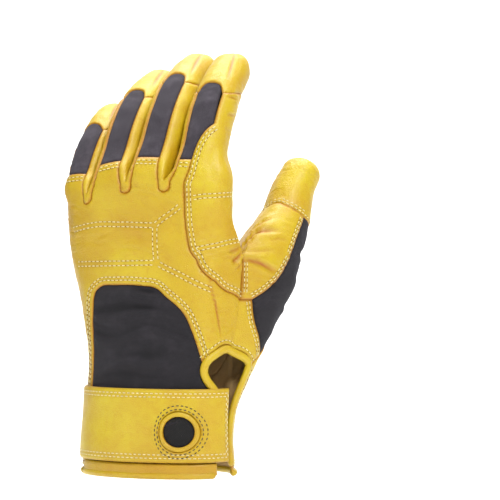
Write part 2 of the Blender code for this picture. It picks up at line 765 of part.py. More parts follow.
def round_outline(centre, radius, count=ROUND_SIDES):
    """Places of a circle on the hand's skin."""
    centre = np.array(centre)
    step = 1e-3
    across = (hand(centre[0] + step, centre[1]) - hand(centre[0] - step, centre[1])) / (2 * step)
    along = (hand(centre[0], centre[1] + step) - hand(centre[0], centre[1] - step)) / (2 * step)
    angles = np.arange(count) * 2 * math.pi / count
    turn = centre[0] + np.cos(angles) * radius / np.linalg.norm(across)
    rise = centre[1] + np.sin(angles) * radius / np.linalg.norm(along)
    return list(zip(turn.tolist(), rise.tolist()))


def back_to_front(edge):
    return edge[::-1]


def material_of(name, colour, roughness):
    made = bpy.data.materials.new(name)
    made.use_nodes = True
    shader = made.node_tree.nodes["Principled BSDF"]
    shader.inputs["Base Color"].default_value = (*colour, 1.0)
    shader.inputs["Roughness"].default_value = roughness
    return made


def fabric_outline(name):
    """The left and right edges, the lower edge and the curved top of a finger's fabric."""
    left, right, low, side_top, top = FINGER_FABRIC[name]
    middle = (left + right) / 2
    arc = [(right, side_top), (middle + 0.24, top - 0.01), (middle, top)]
    return left, right, low, curved(name, [*arc, (middle - 0.24, top - 0.01), (left, side_top)])


def pad_outline(number):
    """The curved top of a finger's pad, from the side towards the index finger."""
    _, side, top = PAD_RISES
    start, end = PAD_TURNS
    if number == 0:
        end = 4 + FINGER_FABRIC["little"][0]
    middle = (start + end) / 2
    arc = [(start, side), (middle - 0.3, top - 0.01), (middle, top), (middle + 0.3, top - 0.01)]
    return curved(NAMES[number], [*arc, (end, side)])


def finger_regions(number):
    """The outlines of one finger's fabric, pad and cap."""
    name = NAMES[number]
    left, right, low, arc = fabric_outline(name)
    pad_arc = pad_outline(number)
    pad_low, pad_side, _ = PAD_RISES
    fabric = [(left, low), (right, low), *arc]
    if number == 3:
        fabric = [(left, low), *back_to_front(patch_on_finger()), *arc[1:]]
    pad = [(pad_arc[0][0], pad_low), *pad_arc, (pad_arc[-1][0], pad_low)]
    seam = [(4 + left, arc[-1][1])] if number else []
    cap = [*back_to_front(arc), *pad_arc, *seam, (4 + left, 3.0), (left, 3.0)]
    if number == 0:
        cap.append((left, pad_side))
    return fabric, pad, cap


def patch_on_finger():
    """The index patch's edge along the finger's fabric, down to the fabric's lower edge."""
    return curved("index", INDEX_PATCH_FINGER_EDGE)


def loop_end(turn, drop):
    """The rounded lower end of a strip between fingers, on the hand."""
    half = LOOP_TURN
    low = [(turn - half * 0.8, 2 - drop * 0.7), (turn, 2 - drop), (turn + half * 0.8, 2 - drop * 0.7)]
    return [(turn - half, 2.0), *low, (turn + half, 2.0)]


def strip_regions(number):
    """The outlines of the strip between two fingers, with its loop ends on the back and palm."""
    one, two = NAMES[number], NAMES[number + 1]
    _, right, _, arc = fabric_outline(one)
    left, _, _, next_arc = fabric_outline(two)
    pad_side = PAD_RISES[1]
    first, last = PAD_TURNS
    half = LOOP_TURN
    on_one = [(1 - half, 2.0), (1.0, 2.0), (2.0, 2.0), (2 + half, 2.0), (first, FOOT_RISE)]
    on_one += [(first, pad_side), arc[0], (right, FOOT_RISE)]
    on_two = [(half, 2.0), (left, FOOT_RISE), next_arc[-1], (last - 4, pad_side)]
    on_two += [(last - 4, FOOT_RISE), (-1 - half, 2.0), (-1.0, 2.0), (0.0, 2.0)]
    ends = []
    for turn, drop in ((number + 2.0, LOOP_RISE), (11.0 - number, PALM_LOOP_RISE)):
        ends.append(("hand", [*loop_end(turn, drop), (turn, 2.0)]))
    return [(one, on_one), (two, on_two), *ends]


def back_regions():
    """The outlines of the leather on the back of the hand."""
    half = LOOP_TURN
    top = []
    bands = []
    for number, name in enumerate(NAMES):
        left, right, low, _ = fabric_outline(name)
        if number:
            top += loop_end(number + 1.0, LOOP_RISE)
            start = [(left, low), (left, FOOT_RISE), (half, 2.0)]
        else:
            top += [(1 + left, 2.0), (1.0, 2.0)]
            start = [(left, low), (left, 2.0), (0.0, 2.0)]
        end = [(1 - half, 2.0), (right, FOOT_RISE), (right, low)]
        if number == 3:
            end = back_to_front(INDEX_PATCH_BAND_EDGE)
        bands.append((name, start + end))
    around = [*top, *curved("hand", INDEX_PATCH_HAND_EDGE), *SADDLE_BACK_EDGE[1:]]
    around += [*back_to_front(curved("hand", GUSSET_BACK_EDGE))[1:]]
    around += [*back_to_front(curved("hand", SLIT_TOP_EDGE)), *curved("hand", WRIST_TOP_EDGE)[1:]]
    around += [(LEFT_SEAM_TURN, HEM_RISE), (LEFT_SEAM_TURN, 1.0)]
    return [("hand", around), *bands]


def thenar_edge():
    """The thenar panel's edge against the palm, with a corner where the hand's side ends."""
    return [*curved("hand", THENAR_SIDE_EDGE), *curved("hand", THENAR_PALM_EDGE)[1:]]


def palm_regions():
    """The outlines of the palm's main leather, which wraps round the wrist to the slit."""
    half = LOOP_TURN
    pad_low = PAD_RISES[0]
    first, last = PAD_TURNS
    seam = 4 + FINGER_FABRIC["little"][0]
    index_side = 1 + (INDEX_PALM_TURN - 5) / 3
    top = [(INDEX_PALM_TURN, 2.0), (8.0, 2.0)]
    for turn in (9.0, 10.0, 11.0):
        top += loop_end(turn, PALM_LOOP_RISE)
    top += [(12.0, 2.0), (9 + seam, 2.0), (12 + LEFT_SEAM_TURN, 1.0), (12 + LEFT_SEAM_TURN, HEM_RISE)]
    around = [*back_to_front(curved("hand", SLIT_RIGHT_EDGE)), GUSSET_BACK_EDGE[0]]
    around += [*back_to_front(curved("hand", GUSSET_PALM_EDGE))[1:]]
    around += [*thenar_edge()[1:], *curved("hand", PATCH_PALM_EDGE)[1:]]
    around += [(PATCH_PALM_EDGE[-1][0], PATCH_TOP_RISE), (INDEX_PALM_TURN, PATCH_TOP_RISE), *top]
    regions = [("hand", around)]
    for number, name in enumerate(NAMES):
        start = [(first, pad_low), (first, FOOT_RISE), (2 + half, 2.0)]
        end = [(3 - half, 2.0), (last, FOOT_RISE), (last, pad_low)]
        if number == 3:
            start = [(first, pad_low), (first, FOOT_RISE), (index_side, 2.0), (2.0, 2.0)]
        if number == 0:
            end = [(3.0, 2.0), (seam, 2.0), (seam, pad_low)]
        regions.append((name, start + end))
    return regions


def index_patch_regions():
    """The outlines of the patch on the index finger's side, down to the thumb's web."""
    first = PAD_TURNS[0]
    _, _, _, arc = fabric_outline("index")
    index_side = 1 + (INDEX_PALM_TURN - 5) / 3
    on_finger = [*back_to_front(INDEX_PATCH_BAND_EDGE)[:-1], *back_to_front(patch_on_finger()), arc[0]]
    on_finger += [(first, PAD_RISES[1]), (first, FOOT_RISE), (index_side, 2.0), (1.0, 2.0)]
    on_hand = [*curved("hand", INDEX_PATCH_HAND_EDGE), (6.0, 1.0), (INDEX_PALM_TURN, WEB)]
    on_hand += [(INDEX_PALM_TURN, PATCH_TOP_RISE), (INDEX_PALM_TURN, 2.0), (5.0, 2.0)]
    return [("index", on_finger), ("hand", on_hand)]


def thumb_regions():
    """The outlines of the saddle patch, the cap, the gusset and the thenar panel."""
    saddle_turn = SADDLE_GUSSET_EDGE[-1][0]
    gusset_turn = GUSSET_THENAR_EDGE[0][0]
    cap_gusset = curved("thumb", CAP_GUSSET_EDGE)
    cap_saddle = curved("thumb", CAP_SADDLE_EDGE)
    saddle_gusset = curved("hand", SADDLE_GUSSET_EDGE)
    gusset_thenar = curved("hand", GUSSET_THENAR_EDGE)
    saddle_thumb = [(SADDLE_PALM_TURN, 1.0), (10.0, 1.0), (4 + saddle_turn, 1.0)]
    saddle_hand = [*SADDLE_BACK_EDGE, *saddle_gusset[1:], (6.0, 1.0)]
    cap = [*cap_gusset, *CAP_THENAR_EDGE[1:], *cap_saddle[1:], (4 + saddle_turn, 2.0)]
    gusset_hand = [*gusset_thenar, *curved("hand", GUSSET_PALM_EDGE)[1:]]
    gusset_hand += curved("hand", GUSSET_BACK_EDGE)[1:]
    gusset_hand += saddle_gusset[1:]
    thenar_thumb = [(gusset_turn, 1.0), (8.0, 1.0), (SADDLE_PALM_TURN, 1.0)]
    thenar_hand = [*gusset_thenar, *thenar_edge()[1:]]
    thenar_hand += curved("hand", THENAR_PATCH_EDGE)[1:]
    return {
        "thumb_saddle": [("hand", saddle_hand), ("thumb", [*saddle_thumb, *cap_saddle[::-1]])],
        "thumb_cap": [("thumb", [*cap, (saddle_turn, 2.0)])],
        "thumb_gusset": [
            ("thumb", [(saddle_turn, 1.0), (gusset_turn, 1.0), *cap_gusset[::-1]]),
            ("hand", gusset_hand),
        ],
        "thenar_panel": [
            ("thumb", [*thenar_thumb, *back_to_front(CAP_THENAR_EDGE)]),
            ("hand", thenar_hand),
        ],
    }


def palm_patch_regions():
    edge = [*curved("hand", THENAR_PATCH_EDGE), (INDEX_PALM_TURN, WEB)]
    edge += [(INDEX_PALM_TURN, PATCH_TOP_RISE), (PATCH_PALM_EDGE[-1][0], PATCH_TOP_RISE)]
    return [("hand", [*edge, *back_to_front(curved("hand", PATCH_PALM_EDGE))[:-1]])]


def wrist_regions():
    edge = [*curved("hand", SLIT_LEFT_EDGE), *curved("hand", WRIST_TOP_EDGE)[1:]]
    return [("hand", edge)]


def beside(line, distance):
    """The line of the hand chart, moved sideways along the skin; positive is to its right."""
    line = np.array(line, float)
    reach = np.concatenate([[0], np.cumsum(np.linalg.norm(np.diff(hand(*line.T), axis=0), axis=1))])
    places = follow(np.column_stack([reach, line]), np.linspace(0, reach[-1], 8 * len(line)))
    step = 1e-4
    turn, rise = places.T
    across = (hand(turn + step, rise) - hand(turn - step, rise)) / (2 * step)
    along = (hand(turn, rise + step) - hand(turn, rise - step)) / (2 * step)
    points = hand(turn, rise)
    ahead = np.gradient(points, axis=0)
    way = np.cross(ahead, outward("hand", places))
    way *= distance / np.linalg.norm(way, axis=1, keepdims=True)
    moved = [
        np.linalg.lstsq(stack(a, b), shift, rcond=None)[0] for a, b, shift in zip(across, along, way)
    ]
    return places + np.array(moved)


def main():
    for old in list(bpy.data.objects):
        bpy.data.objects.remove(old)
    collection = bpy.data.collections.new("climbing_glove")
    bpy.context.scene.collection.children.link(collection)
    leather = material_of("golden_leather", (0.80, 0.52, 0.05), 0.55)
    worn = material_of("palm_leather", (0.62, 0.33, 0.05), 0.6)
    fabric = material_of("grey_fabric", (0.05, 0.047, 0.052), 0.9)
    mesh = material_of("eyelet_mesh", (0.02, 0.02, 0.02), 0.8)

    # Fingers
    for number, name in enumerate(NAMES):
        cloth, pad, cap = finger_regions(number)
        piece(f"finger_back_{name}", [(name, cloth)], 0.0, -FABRIC, collection, fabric)
        piece(f"finger_pad_{name}", [(name, pad)], 0.0, -LEATHER, collection, worn)
        piece(f"fingertip_{name}", [(name, cap)], 0.0, -LEATHER, collection, leather)
    for number in range(3):
        name = f"finger_strip_{NAMES[number]}_{NAMES[number + 1]}"
        piece(name, strip_regions(number), 0.0, -LEATHER, collection, leather)

    # Hand
    piece("back_panel", back_regions(), 0.0, -LEATHER, collection, leather)
    piece("palm_panel", palm_regions(), 0.0, -LEATHER, collection, leather)
    piece("index_patch", index_patch_regions(), PATCH_RISE, -LEATHER, collection, leather)
    others = {**thumb_regions(), "palm_patch": palm_patch_regions(), "wrist_panel": wrist_regions()}
    rises = {"thumb_saddle": PATCH_RISE, "palm_patch": PATCH_RISE, "thenar_panel": PATCH_RISE}
    for name, regions in others.items():
        is_fabric = name in ("wrist_panel", "thumb_gusset")
        depth = FABRIC if is_fabric else LEATHER
        chosen = fabric if is_fabric else leather
        piece(name, regions, rises.get(name, 0.0), -depth, collection, chosen)

    # Slit and hems
    slit = [curved("hand", edge) for edge in (SLIT_LEFT_EDGE, SLIT_TOP_EDGE, SLIT_RIGHT_EDGE)]
    line = beside([*slit[0], *slit[1][1:], *slit[2][1:]], BINDING_RADIUS + SEAM_GAP)
    high = int(np.argmax(line[:, 1]))
    lowest = np.where(np.arange(len(line)) < high, BINDING_START_RISE, BINDING_END_RISE)
    keep = line[:, 1] > lowest
    tube("slit_binding", line[keep], BINDING_RADIUS, -LEATHER / 2, collection, leather)
    hem = HEM_RADIUS / WEB_HEIGHT
    wrist_left = WRIST_TOP_EDGE[-1][0]
    slit_left = SLIT_LEFT_EDGE[0][0]
    slit_right = SLIT_RIGHT_EDGE[-1][0]
    back_hem = [(turn, hem) for turn in np.linspace(wrist_left + 0.05, slit_left - 0.05, 9)]
    palm_hem = [(turn, hem) for turn in np.linspace(slit_right, 12 + wrist_left - 0.25, 15)]
    tube("cuff_hem_back", back_hem, HEM_RADIUS, -FABRIC / 2, collection, leather)
    tube("cuff_hem_palm", palm_hem, HEM_RADIUS, -LEATHER / 2, collection, leather)

    # Strap
    left, right = STRAP_TURNS
    low, high = STRAP_RISES
    turn_corner, rise_corner = STRAP_CORNER
    outline = [(left + turn_corner, low), (right, low), (right, high), (left, high)]
    outline += [(left, low + rise_corner), (left + turn_corner * 0.3, low + rise_corner * 0.3)]
    eyelet_radius = EYELET_CLEAR_RADIUS + EYELET_WIDTH
    strap_hole = round_outline(EYELET_PLACE, eyelet_radius)
    ring = round_outline(EYELET_PLACE, eyelet_radius)
    ring_hole = round_outline(EYELET_PLACE, EYELET_CLEAR_RADIUS)
    top = LAYER_GAP + STRAP_THICKNESS
    piece("strap", [("hand", outline, strap_hole)], top, LAYER_GAP, collection, leather, STRAP_STEPS)
    fine = EYELET_STEPS
    eyelet_top = top + EYELET_RISE
    piece("strap_eyelet", [("hand", ring, ring_hole)], eyelet_top, LAYER_GAP, collection, leather, fine)
    mesh_top = LAYER_GAP + MESH_THICKNESS
    piece("eyelet_mesh", [("hand", ring_hole)], mesh_top, LAYER_GAP, collection, mesh, fine)


if __name__ == "__main__":
    main()
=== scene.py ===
"""Dresses the climbing glove: panels of leather and fabric with turned edges, folds, piping,
stitching, the strap and its eyelet, and a plain studio."""

import json
import math

import bpy
import numpy as np
from bpy.props import FloatProperty, FloatVectorProperty, PointerProperty
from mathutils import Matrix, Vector
from mathutils.geometry import delaunay_2d_cdt

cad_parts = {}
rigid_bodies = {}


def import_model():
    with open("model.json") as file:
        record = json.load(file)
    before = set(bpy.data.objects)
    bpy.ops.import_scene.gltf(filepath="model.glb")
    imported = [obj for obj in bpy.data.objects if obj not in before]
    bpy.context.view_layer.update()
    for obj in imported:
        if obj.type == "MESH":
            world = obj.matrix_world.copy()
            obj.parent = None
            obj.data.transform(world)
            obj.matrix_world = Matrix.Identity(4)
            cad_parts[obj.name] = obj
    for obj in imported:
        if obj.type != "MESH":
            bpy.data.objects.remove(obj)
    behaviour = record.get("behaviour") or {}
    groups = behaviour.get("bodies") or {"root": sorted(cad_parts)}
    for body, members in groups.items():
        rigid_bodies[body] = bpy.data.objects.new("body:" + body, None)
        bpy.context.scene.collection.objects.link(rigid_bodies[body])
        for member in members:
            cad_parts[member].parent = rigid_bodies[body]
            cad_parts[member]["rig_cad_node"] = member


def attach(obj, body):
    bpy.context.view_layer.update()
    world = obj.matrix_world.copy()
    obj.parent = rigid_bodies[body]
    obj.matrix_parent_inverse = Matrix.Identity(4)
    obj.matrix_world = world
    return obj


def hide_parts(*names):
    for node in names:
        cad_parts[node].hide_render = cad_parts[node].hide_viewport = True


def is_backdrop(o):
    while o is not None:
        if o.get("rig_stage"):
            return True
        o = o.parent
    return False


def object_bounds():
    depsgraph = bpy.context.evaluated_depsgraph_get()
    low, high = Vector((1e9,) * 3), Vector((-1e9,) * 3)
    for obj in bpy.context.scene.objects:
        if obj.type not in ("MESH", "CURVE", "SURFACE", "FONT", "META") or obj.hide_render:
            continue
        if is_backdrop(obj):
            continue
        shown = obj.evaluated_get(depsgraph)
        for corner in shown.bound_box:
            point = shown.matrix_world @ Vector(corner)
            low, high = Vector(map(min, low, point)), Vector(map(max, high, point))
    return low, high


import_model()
CAD_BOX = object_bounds()

bl_info = {
    "name": "Climbing glove",
    "version": (1, 0, 0),
    "blender": (4, 5, 0),
    "location": "3D View > Sidebar > Glove",
    "description": "Builds the finished surfaces of a leather climbing glove",
    "category": "Add Mesh",
}

MM = 0.001

# Hand
WEB_HEIGHT = 123.0 * MM
CROTCH_HEIGHT = 166.0 * MM
HAND_HALF_WIDTH = 50.0 * MM
BACK_DEPTH = 16.0 * MM
PALM_DEPTH = 18.0 * MM
WEB_BLEND_HEIGHT = 30.0 * MM

# Thumb
THUMB_LENGTH = 66.0 * MM
THUMB_HALF_WIDTH = 15.8 * MM
THUMB_BASE = (57.0 * MM, 40.0 * MM)
WEB_BACK_CORNER = (50.0 * MM, 6.0 * MM)
WEB_PALM_CORNER = (36.0 * MM, 25.0 * MM)
THUMB_TURN = 55.0
THUMB_DOME_SHARE = 0.17

# Leather and fabric
LEATHER = 1.3 * MM
FABRIC = 1.1 * MM
PATCH_RISE = 0.5 * MM
LAYER_GAP = 0.45 * MM
STRAP_THICKNESS = 1.9 * MM
HEM_RADIUS = 2.0 * MM
BINDING_RADIUS = 2.3 * MM

# Strap hole
EYELET_CLEAR_RADIUS = 8.5 * MM
EYELET_WIDTH = 2.6 * MM
EYELET_RISE = 0.7 * MM
EYELET_PLACE = (4.34, 0.215)

# Columns: share of CROTCH_HEIGHT, middle and half width as shares of HAND_HALF_WIDTH,
# back and palm depth as shares of BACK_DEPTH and PALM_DEPTH, squareness.
HAND_SECTIONS = np.array(
    [
        (0.00, 0.030, 0.900, 1.75, 1.62, 2.20),
        (0.12, 0.030, 0.880, 1.68, 1.58, 2.20),
        (0.28, 0.040, 0.850, 1.58, 1.50, 2.20),
        (0.42, 0.040, 0.850, 1.45, 1.42, 2.25),
        (0.58, 0.000, 0.900, 1.28, 1.36, 2.35),
        (0.74, -0.060, 0.960, 1.12, 1.28, 2.45),
        (0.88, -0.090, 0.990, 1.02, 1.14, 2.55),
        (1.00, -0.090, 1.000, 1.00, 1.00, 2.60),
    ]
)
# Columns: share of the half width at turns 1 to 5, drop of the crotch there.
CROTCHES = np.array(
    [
        (-0.96, 12.0 * MM),
        (-0.66, 7.5 * MM),
        (-0.15, 0.5 * MM),
        (0.30, 0.0 * MM),
        (0.88, 1.0 * MM),
    ]
)
# Columns: rise, share of the thumb's root that stands out from the hand there.
THUMB_ROOT = np.array(
    [
        (0.00, 0.0),
        (0.20, 0.0),
        (0.33, 0.10),
        (0.45, 0.27),
        (0.60, 0.50),
        (0.75, 0.74),
        (0.88, 0.92),
        (1.00, 1.0),
    ]
)
# Columns: share of the thumb's length, offsets of its middle line along X, Y and Z as shares of it.
THUMB_SPINE = np.array(
    [
        (0.00, 0.0, 0.0, 0.0),
        (0.30, 0.035, 0.165, 0.29),
        (0.65, 0.075, 0.32, 0.61),
        (1.00, 0.165, 0.45, 0.87),
    ]
)
# Columns: share of the thumb's length, width share, depth share.
THUMB_TAPER = np.array(
    [(0.0, 1.0, 1.0), (0.35, 0.90, 0.90), (0.70, 0.76, 0.78), (1.0, 0.68, 0.70)]
)
# Columns: half width, half depth, length, sideways lean in degrees, curl at the root and at the
# tip in degrees, sideways shift of the root.
FINGERS = {
    "little": (10.3 * MM, 10.8 * MM, 71.0 * MM, 7.0, 14.0, 62.0, -2.6 * MM),
    "ring": (11.5 * MM, 11.8 * MM, 95.5 * MM, 5.2, 12.0, 72.0, 0.0 * MM),
    "middle": (11.9 * MM, 12.2 * MM, 98.5 * MM, 5.8, 8.0, 69.0, 0.4 * MM),
    "index": (12.5 * MM, 12.4 * MM, 86.5 * MM, 6.0, 4.0, 54.0, 1.2 * MM),
}
NAMES = tuple(FINGERS)
FINGER_SQUARENESS = 2.35
FINGER_CORNER_SHARE = 0.80

# Finger seams. Columns: turn of the back fabric's edges, rise of its lower edge, rise of its top
# edge at the sides and in the middle.
FINGER_FABRIC = {
    "little": (-0.22, 0.80, 2.17, 2.56, 2.62),
    "ring": (0.04, 0.80, 2.13, 2.56, 2.62),
    "middle": (0.04, 0.80, 2.12, 2.58, 2.65),
    "index": (0.04, 0.86, 2.13, 2.56, 2.63),
}
LOOP_TURN = 0.13
LOOP_RISE = 0.13
PALM_LOOP_RISE = 0.14
FOOT_RISE = 2.08
PAD_TURNS = (2.02, 2.98)
PAD_RISES = (2.28, 2.74, 2.80)
# The index patch's edge. Columns: turn, rise; the first list is on the index finger.
INDEX_PATCH_FINGER_EDGE = [(0.86, 2.36), (0.68, 2.31), (0.52, 2.23), (0.45, 2.13)]
INDEX_PATCH_BAND_EDGE = [(0.45, 2.13), (0.425, 2.0)]
INDEX_PATCH_HAND_EDGE = [
    (4.425, 2.0),
    (4.445, 1.68),
    (4.49, 1.33),
    (4.57, 1.08),
    (4.72, 0.97),
    (4.92, 0.91),
    (5.28, 0.855),
    (5.72, 0.83),
    (6.0, 0.81),
]
INDEX_PALM_TURN = 7.9
# The saddle patch's lower edge against the back, then against the thumb's fabric gusset.
SADDLE_BACK_EDGE = [(6.0, 0.81), (6.12, 0.81)]
SADDLE_GUSSET_EDGE = [(6.12, 0.81), (6.24, 0.85), (6.36, 0.92), (6.44, 1.0)]
SADDLE_PALM_TURN = 8.1
# The gusset's other edges, against the thenar panel, the palm's leather and the back.
GUSSET_THENAR_EDGE = [(7.42, 1.0), (7.46, 0.86), (7.30, 0.72)]
GUSSET_PALM_EDGE = [(7.30, 0.72), (6.98, 0.62), (6.62, 0.55)]
GUSSET_BACK_EDGE = [(6.62, 0.55), (6.36, 0.64), (6.20, 0.72), (6.12, 0.81)]
# The thumb cap's edge against the gusset, the thenar panel and the saddle patch.
CAP_GUSSET_EDGE = [(6.44, 1.36), (6.9, 1.34), (7.42, 1.30)]
CAP_THENAR_EDGE = [(7.42, 1.30), (8.1, 1.26)]
CAP_SADDLE_EDGE = [(8.1, 1.26), (8.5, 1.31), (9.0, 1.37), (9.6, 1.40), (10.44, 1.36)]
# The thenar panel's edge on the palm, from the gusset round to the palm patch and to the web.
THENAR_SIDE_EDGE = [(7.30, 0.72), (7.62, 0.64), (8.0, 0.55)]
THENAR_PALM_EDGE = [
    (8.0, 0.55),
    (8.50, 0.45),
    (9.35, 0.40),
    (10.0, 0.46),
    (10.42, 0.58),
    (10.50, 0.72),
    (10.30, 0.80),
]
THENAR_PATCH_EDGE = [(10.30, 0.80), (9.70, 0.82), (9.10, 0.90), (8.55, 0.97), (8.0, 1.0)]
PATCH_PALM_EDGE = [(10.30, 0.80), (10.85, 0.78), (11.05, 0.90), (11.05, 1.0)]
PATCH_TOP_RISE = 1.72
HEM_RISE = 0.038
# The wrist fabric's edge from the slit round to the left side seam.
WRIST_TOP_EDGE = [
    (4.80, 0.53),
    (4.70, 0.60),
    (4.58, 0.67),
    (4.40, 0.75),
    (4.05, 0.82),
    (3.74, 0.865),
    (3.30, 0.875),
    (2.60, 0.877),
    (2.20, 0.87),
    (1.93, 0.83),
    (1.74, 0.76),
    (1.55, 0.66),
    (1.47, 0.55),
    (1.38, 0.43),
    (1.32, 0.25),
    (1.30, HEM_RISE),
]
LEFT_SEAM_TURN = 0.45
# The slit's edges in the leather and fabric, which its binding follows.
SLIT_LEFT_EDGE = [
    (5.14, HEM_RISE),
    (5.14, 0.20),
    (5.08, 0.37),
    (4.86, 0.43),
    (4.76, 0.49),
    (4.80, 0.53),
]
SLIT_TOP_EDGE = [(4.80, 0.53), (5.05, 0.58), (5.48, 0.605), (6.10, 0.575), (6.46, 0.51)]
SLIT_RIGHT_EDGE = [(6.46, 0.51), (6.50, 0.43), (6.48, 0.27), (6.56, 0.15), (6.66, HEM_RISE)]
STRAP_TURNS = (0.55, 5.80)
STRAP_RISES = (0.075, 0.408)
STRAP_CORNER = (0.22, 0.035)

# Blends of the charts, as turns, degrees and shares of a finger's or the thumb's length
THUMB_SIDE_SHARE = -0.3
THUMB_ANGLES = (135.0, -135.0, -225.0)
THUMB_GROWN_SHARE = 0.42
WEB_PULL_TURNS = (4.7, 9.8)
CURL_EARLY_SHARE = 0.35
CURL_START_SHARE = 0.12
CURL_START = 0.15
FOOT_SHARE = 0.26
QUICK_SHARE = 0.10
FINGER_TAPER = 0.10
FINGER_DOME_SHARE = 0.95
DOME_POWERS = (0.95, 0.85)
THUMB_POWER = 0.93
WEB_CORNER_REACH = 0.42
LOOP_DEPTH = 0.075

# Mesh fineness and stitching
GRID = 1.05 * MM
LINE_STEP = 1.0 * MM
STITCH_GAP = 0.85 * MM
STITCH_LENGTH = 1.9 * MM
HOLE_LENGTH = 0.8 * MM
HOLE_RADIUS = 0.24 * MM
SPINE_COUNT = 121
HOLE_SINK = 0.16 * MM
ROW_STEP = 0.5 * MM
CREASE_STEP = 1.5 * MM
OUTLINE_STEP = 2.5 * LINE_STEP
RIM_SHARE, LATTICE_ROW_SHARE, CLEAR_SHARE = 0.85, 0.87, 0.62
WELD, WELD_SHIFT = 2e-6, 0.3137
TIP_MARGIN = 0.012
LOOP_POINTS = 9
LINE_MARGIN = 4 * MM
STITCH_LIFT = 0.10 * MM
STITCH_REACH = 1.8 * MM
SHORTEST_ROW = 6
CHUNK = 400


def smooth(x):
    """0 below 0, 1 above 1, and a smooth step between."""
    x = np.clip(x, 0.0, 1.0)
    return x * x * (3.0 - 2.0 * x)


def follow(table, key):
    """The table's row at the key, by a cubic through its rows; the first column is the key."""
    keys = table[:, 0]
    rows = table[:, 1:]
    slopes = np.gradient(rows, keys, axis=0)
    key = np.clip(np.asarray(key, float), keys[0], keys[-1])
    at = np.clip(np.searchsorted(keys, key, side="right") - 1, 0, len(keys) - 2)
    span = keys[at + 1] - keys[at]
    u = ((key - keys[at]) / span)[..., None]
    span = span[..., None]
    start = (2 * u**3 - 3 * u**2 + 1) * rows[at] + (u**3 - 2 * u**2 + u) * span * slopes[at]
    end = (3 * u**2 - 2 * u**3) * rows[at + 1] + (u**3 - u**2) * span * slopes[at + 1]
    return start + end


def rounded(share, power):
    """The other coordinate of a rounded square, at a share of its half width."""
    return (1.0 - np.abs(np.clip(share, -1.0, 1.0)) ** power) ** (1.0 / power)


def stack(*parts):
    """The parts as the last axis of one array, spread to a common shape."""
    return np.stack(np.broadcast_arrays(*parts), -1)


def between_rows(at, keys, rows):
    """The rows' points at the given keys, by straight lines between them."""
    return stack(*(np.interp(at, keys, rows[:, axis]) for axis in range(3)))


def reach_along(points):
    """The length of a line up to each of its points."""
    return np.concatenate([[0], np.cumsum(np.linalg.norm(np.diff(points, axis=0), axis=1))])


def unit(rows):
    """The rows' directions, each of length 1."""
    return rows / np.linalg.norm(rows, axis=-1, keepdims=True)


def bell(gap, width):
    """A bell curve: 1 at no distance, and 1 / e at the width."""
    return np.exp(-((gap / width) ** 2))


def turned_edge(gap, width):
    """Share of an edge's drop: a quarter circle from nearly 1 at the edge to 0 at the width."""
    near = np.clip(1 - gap / width, 0, 1)
    return 1 - np.sqrt(1 - near**2 * 0.999)


def grid_quads(rows, columns, round_rows=False, round_columns=False):
    """The corner numbers of a grid's quads, which join each row of points to the next."""
    shape = (rows if round_rows else rows - 1), (columns if round_columns else columns - 1)
    i, j = (axis.ravel() for axis in np.indices(shape))
    after, across = (i + 1) % rows * columns, (j + 1) % columns
    return np.column_stack([i * columns + j, i * columns + across, after + across, after + j])


def halved(quads):
    """Each quad as two triangles."""
    return np.vstack([quads[:, [0, 1, 2]], quads[:, [0, 2, 3]]])


def hand_section(turn, height):
    """X and Y of the hand's own section, without the thumb."""
    row = follow(HAND_SECTIONS, height / CROTCH_HEIGHT)
    middle, half, back, palm, power = np.moveaxis(row, -1, 0)
    stops = (1, 2, 3, 4, 5)
    back_share = np.interp(turn, stops, CROTCHES[:, 0])
    palm_share = np.interp(13 - turn, stops, CROTCHES[:, 0])
    back_edge = rounded(CROTCHES[-1, 0], power)
    little_edge = rounded(CROTCHES[0, 0], power)
    thumb_side = np.interp(turn, (5, 6, 8), (-1, THUMB_SIDE_SHARE, 1)) * back_edge
    little_side = (1 - 2 * turn) * little_edge
    cases = [turn < 1, turn <= 5, turn < 8]
    across = np.select(
        cases, [-rounded(little_side, power), back_share, rounded(thumb_side, power)], palm_share
    )
    deep = np.select(
        cases, [little_side, -rounded(back_share, power), thumb_side], rounded(palm_share, power)
    )
    depth = np.where(deep < 0, back * BACK_DEPTH, palm * PALM_DEPTH)
    return stack((middle + half * across) * HAND_HALF_WIDTH, depth * deep)


def thumb_frame(share):
    """The thumb's middle line at a share of its length, and the three axes of its section there."""
    step = 0.01
    here = follow(THUMB_SPINE, share) * THUMB_LENGTH
    ahead = follow(THUMB_SPINE, np.clip(share + step, 0, 1))
    behind = follow(THUMB_SPINE, np.clip(share - step, 0, 1))
    along = unit(ahead - behind)
    angle = math.radians(THUMB_TURN)
    across = np.broadcast_to(np.array([math.cos(angle), math.sin(angle), 0.0]), along.shape)
    across = unit(across - (across * along).sum(-1, keepdims=True) * along)
    return here + np.array([*THUMB_BASE, WEB_HEIGHT]), across, np.cross(across, along), along


def dome(share, start):
    """Share along the middle line and radius share for a rise that ends in a rounded tip."""
    angle = np.clip((share - start) / (1.0 - start), 0.0, 1.0) * math.pi / 2
    rounding = start + (1.0 - start) * np.sin(angle) ** DOME_POWERS[0]
    return np.where(share < start, share, rounding), np.cos(angle) ** DOME_POWERS[1]


def thumb_section(turn, share, radius):
    """Across and back of the thumb's section: a flattened ellipse, tapered along the thumb."""
    angle = np.radians(np.interp(turn, (6, 8, 10), THUMB_ANGLES))
    taper = follow(THUMB_TAPER, share)
    across = np.sign(np.cos(angle)) * np.abs(np.cos(angle)) ** THUMB_POWER
    back = np.sign(np.sin(angle)) * np.abs(np.sin(angle)) ** THUMB_POWER
    size = THUMB_HALF_WIDTH * radius
    return across * taper[..., 0] * size, back * taper[..., 1] * size


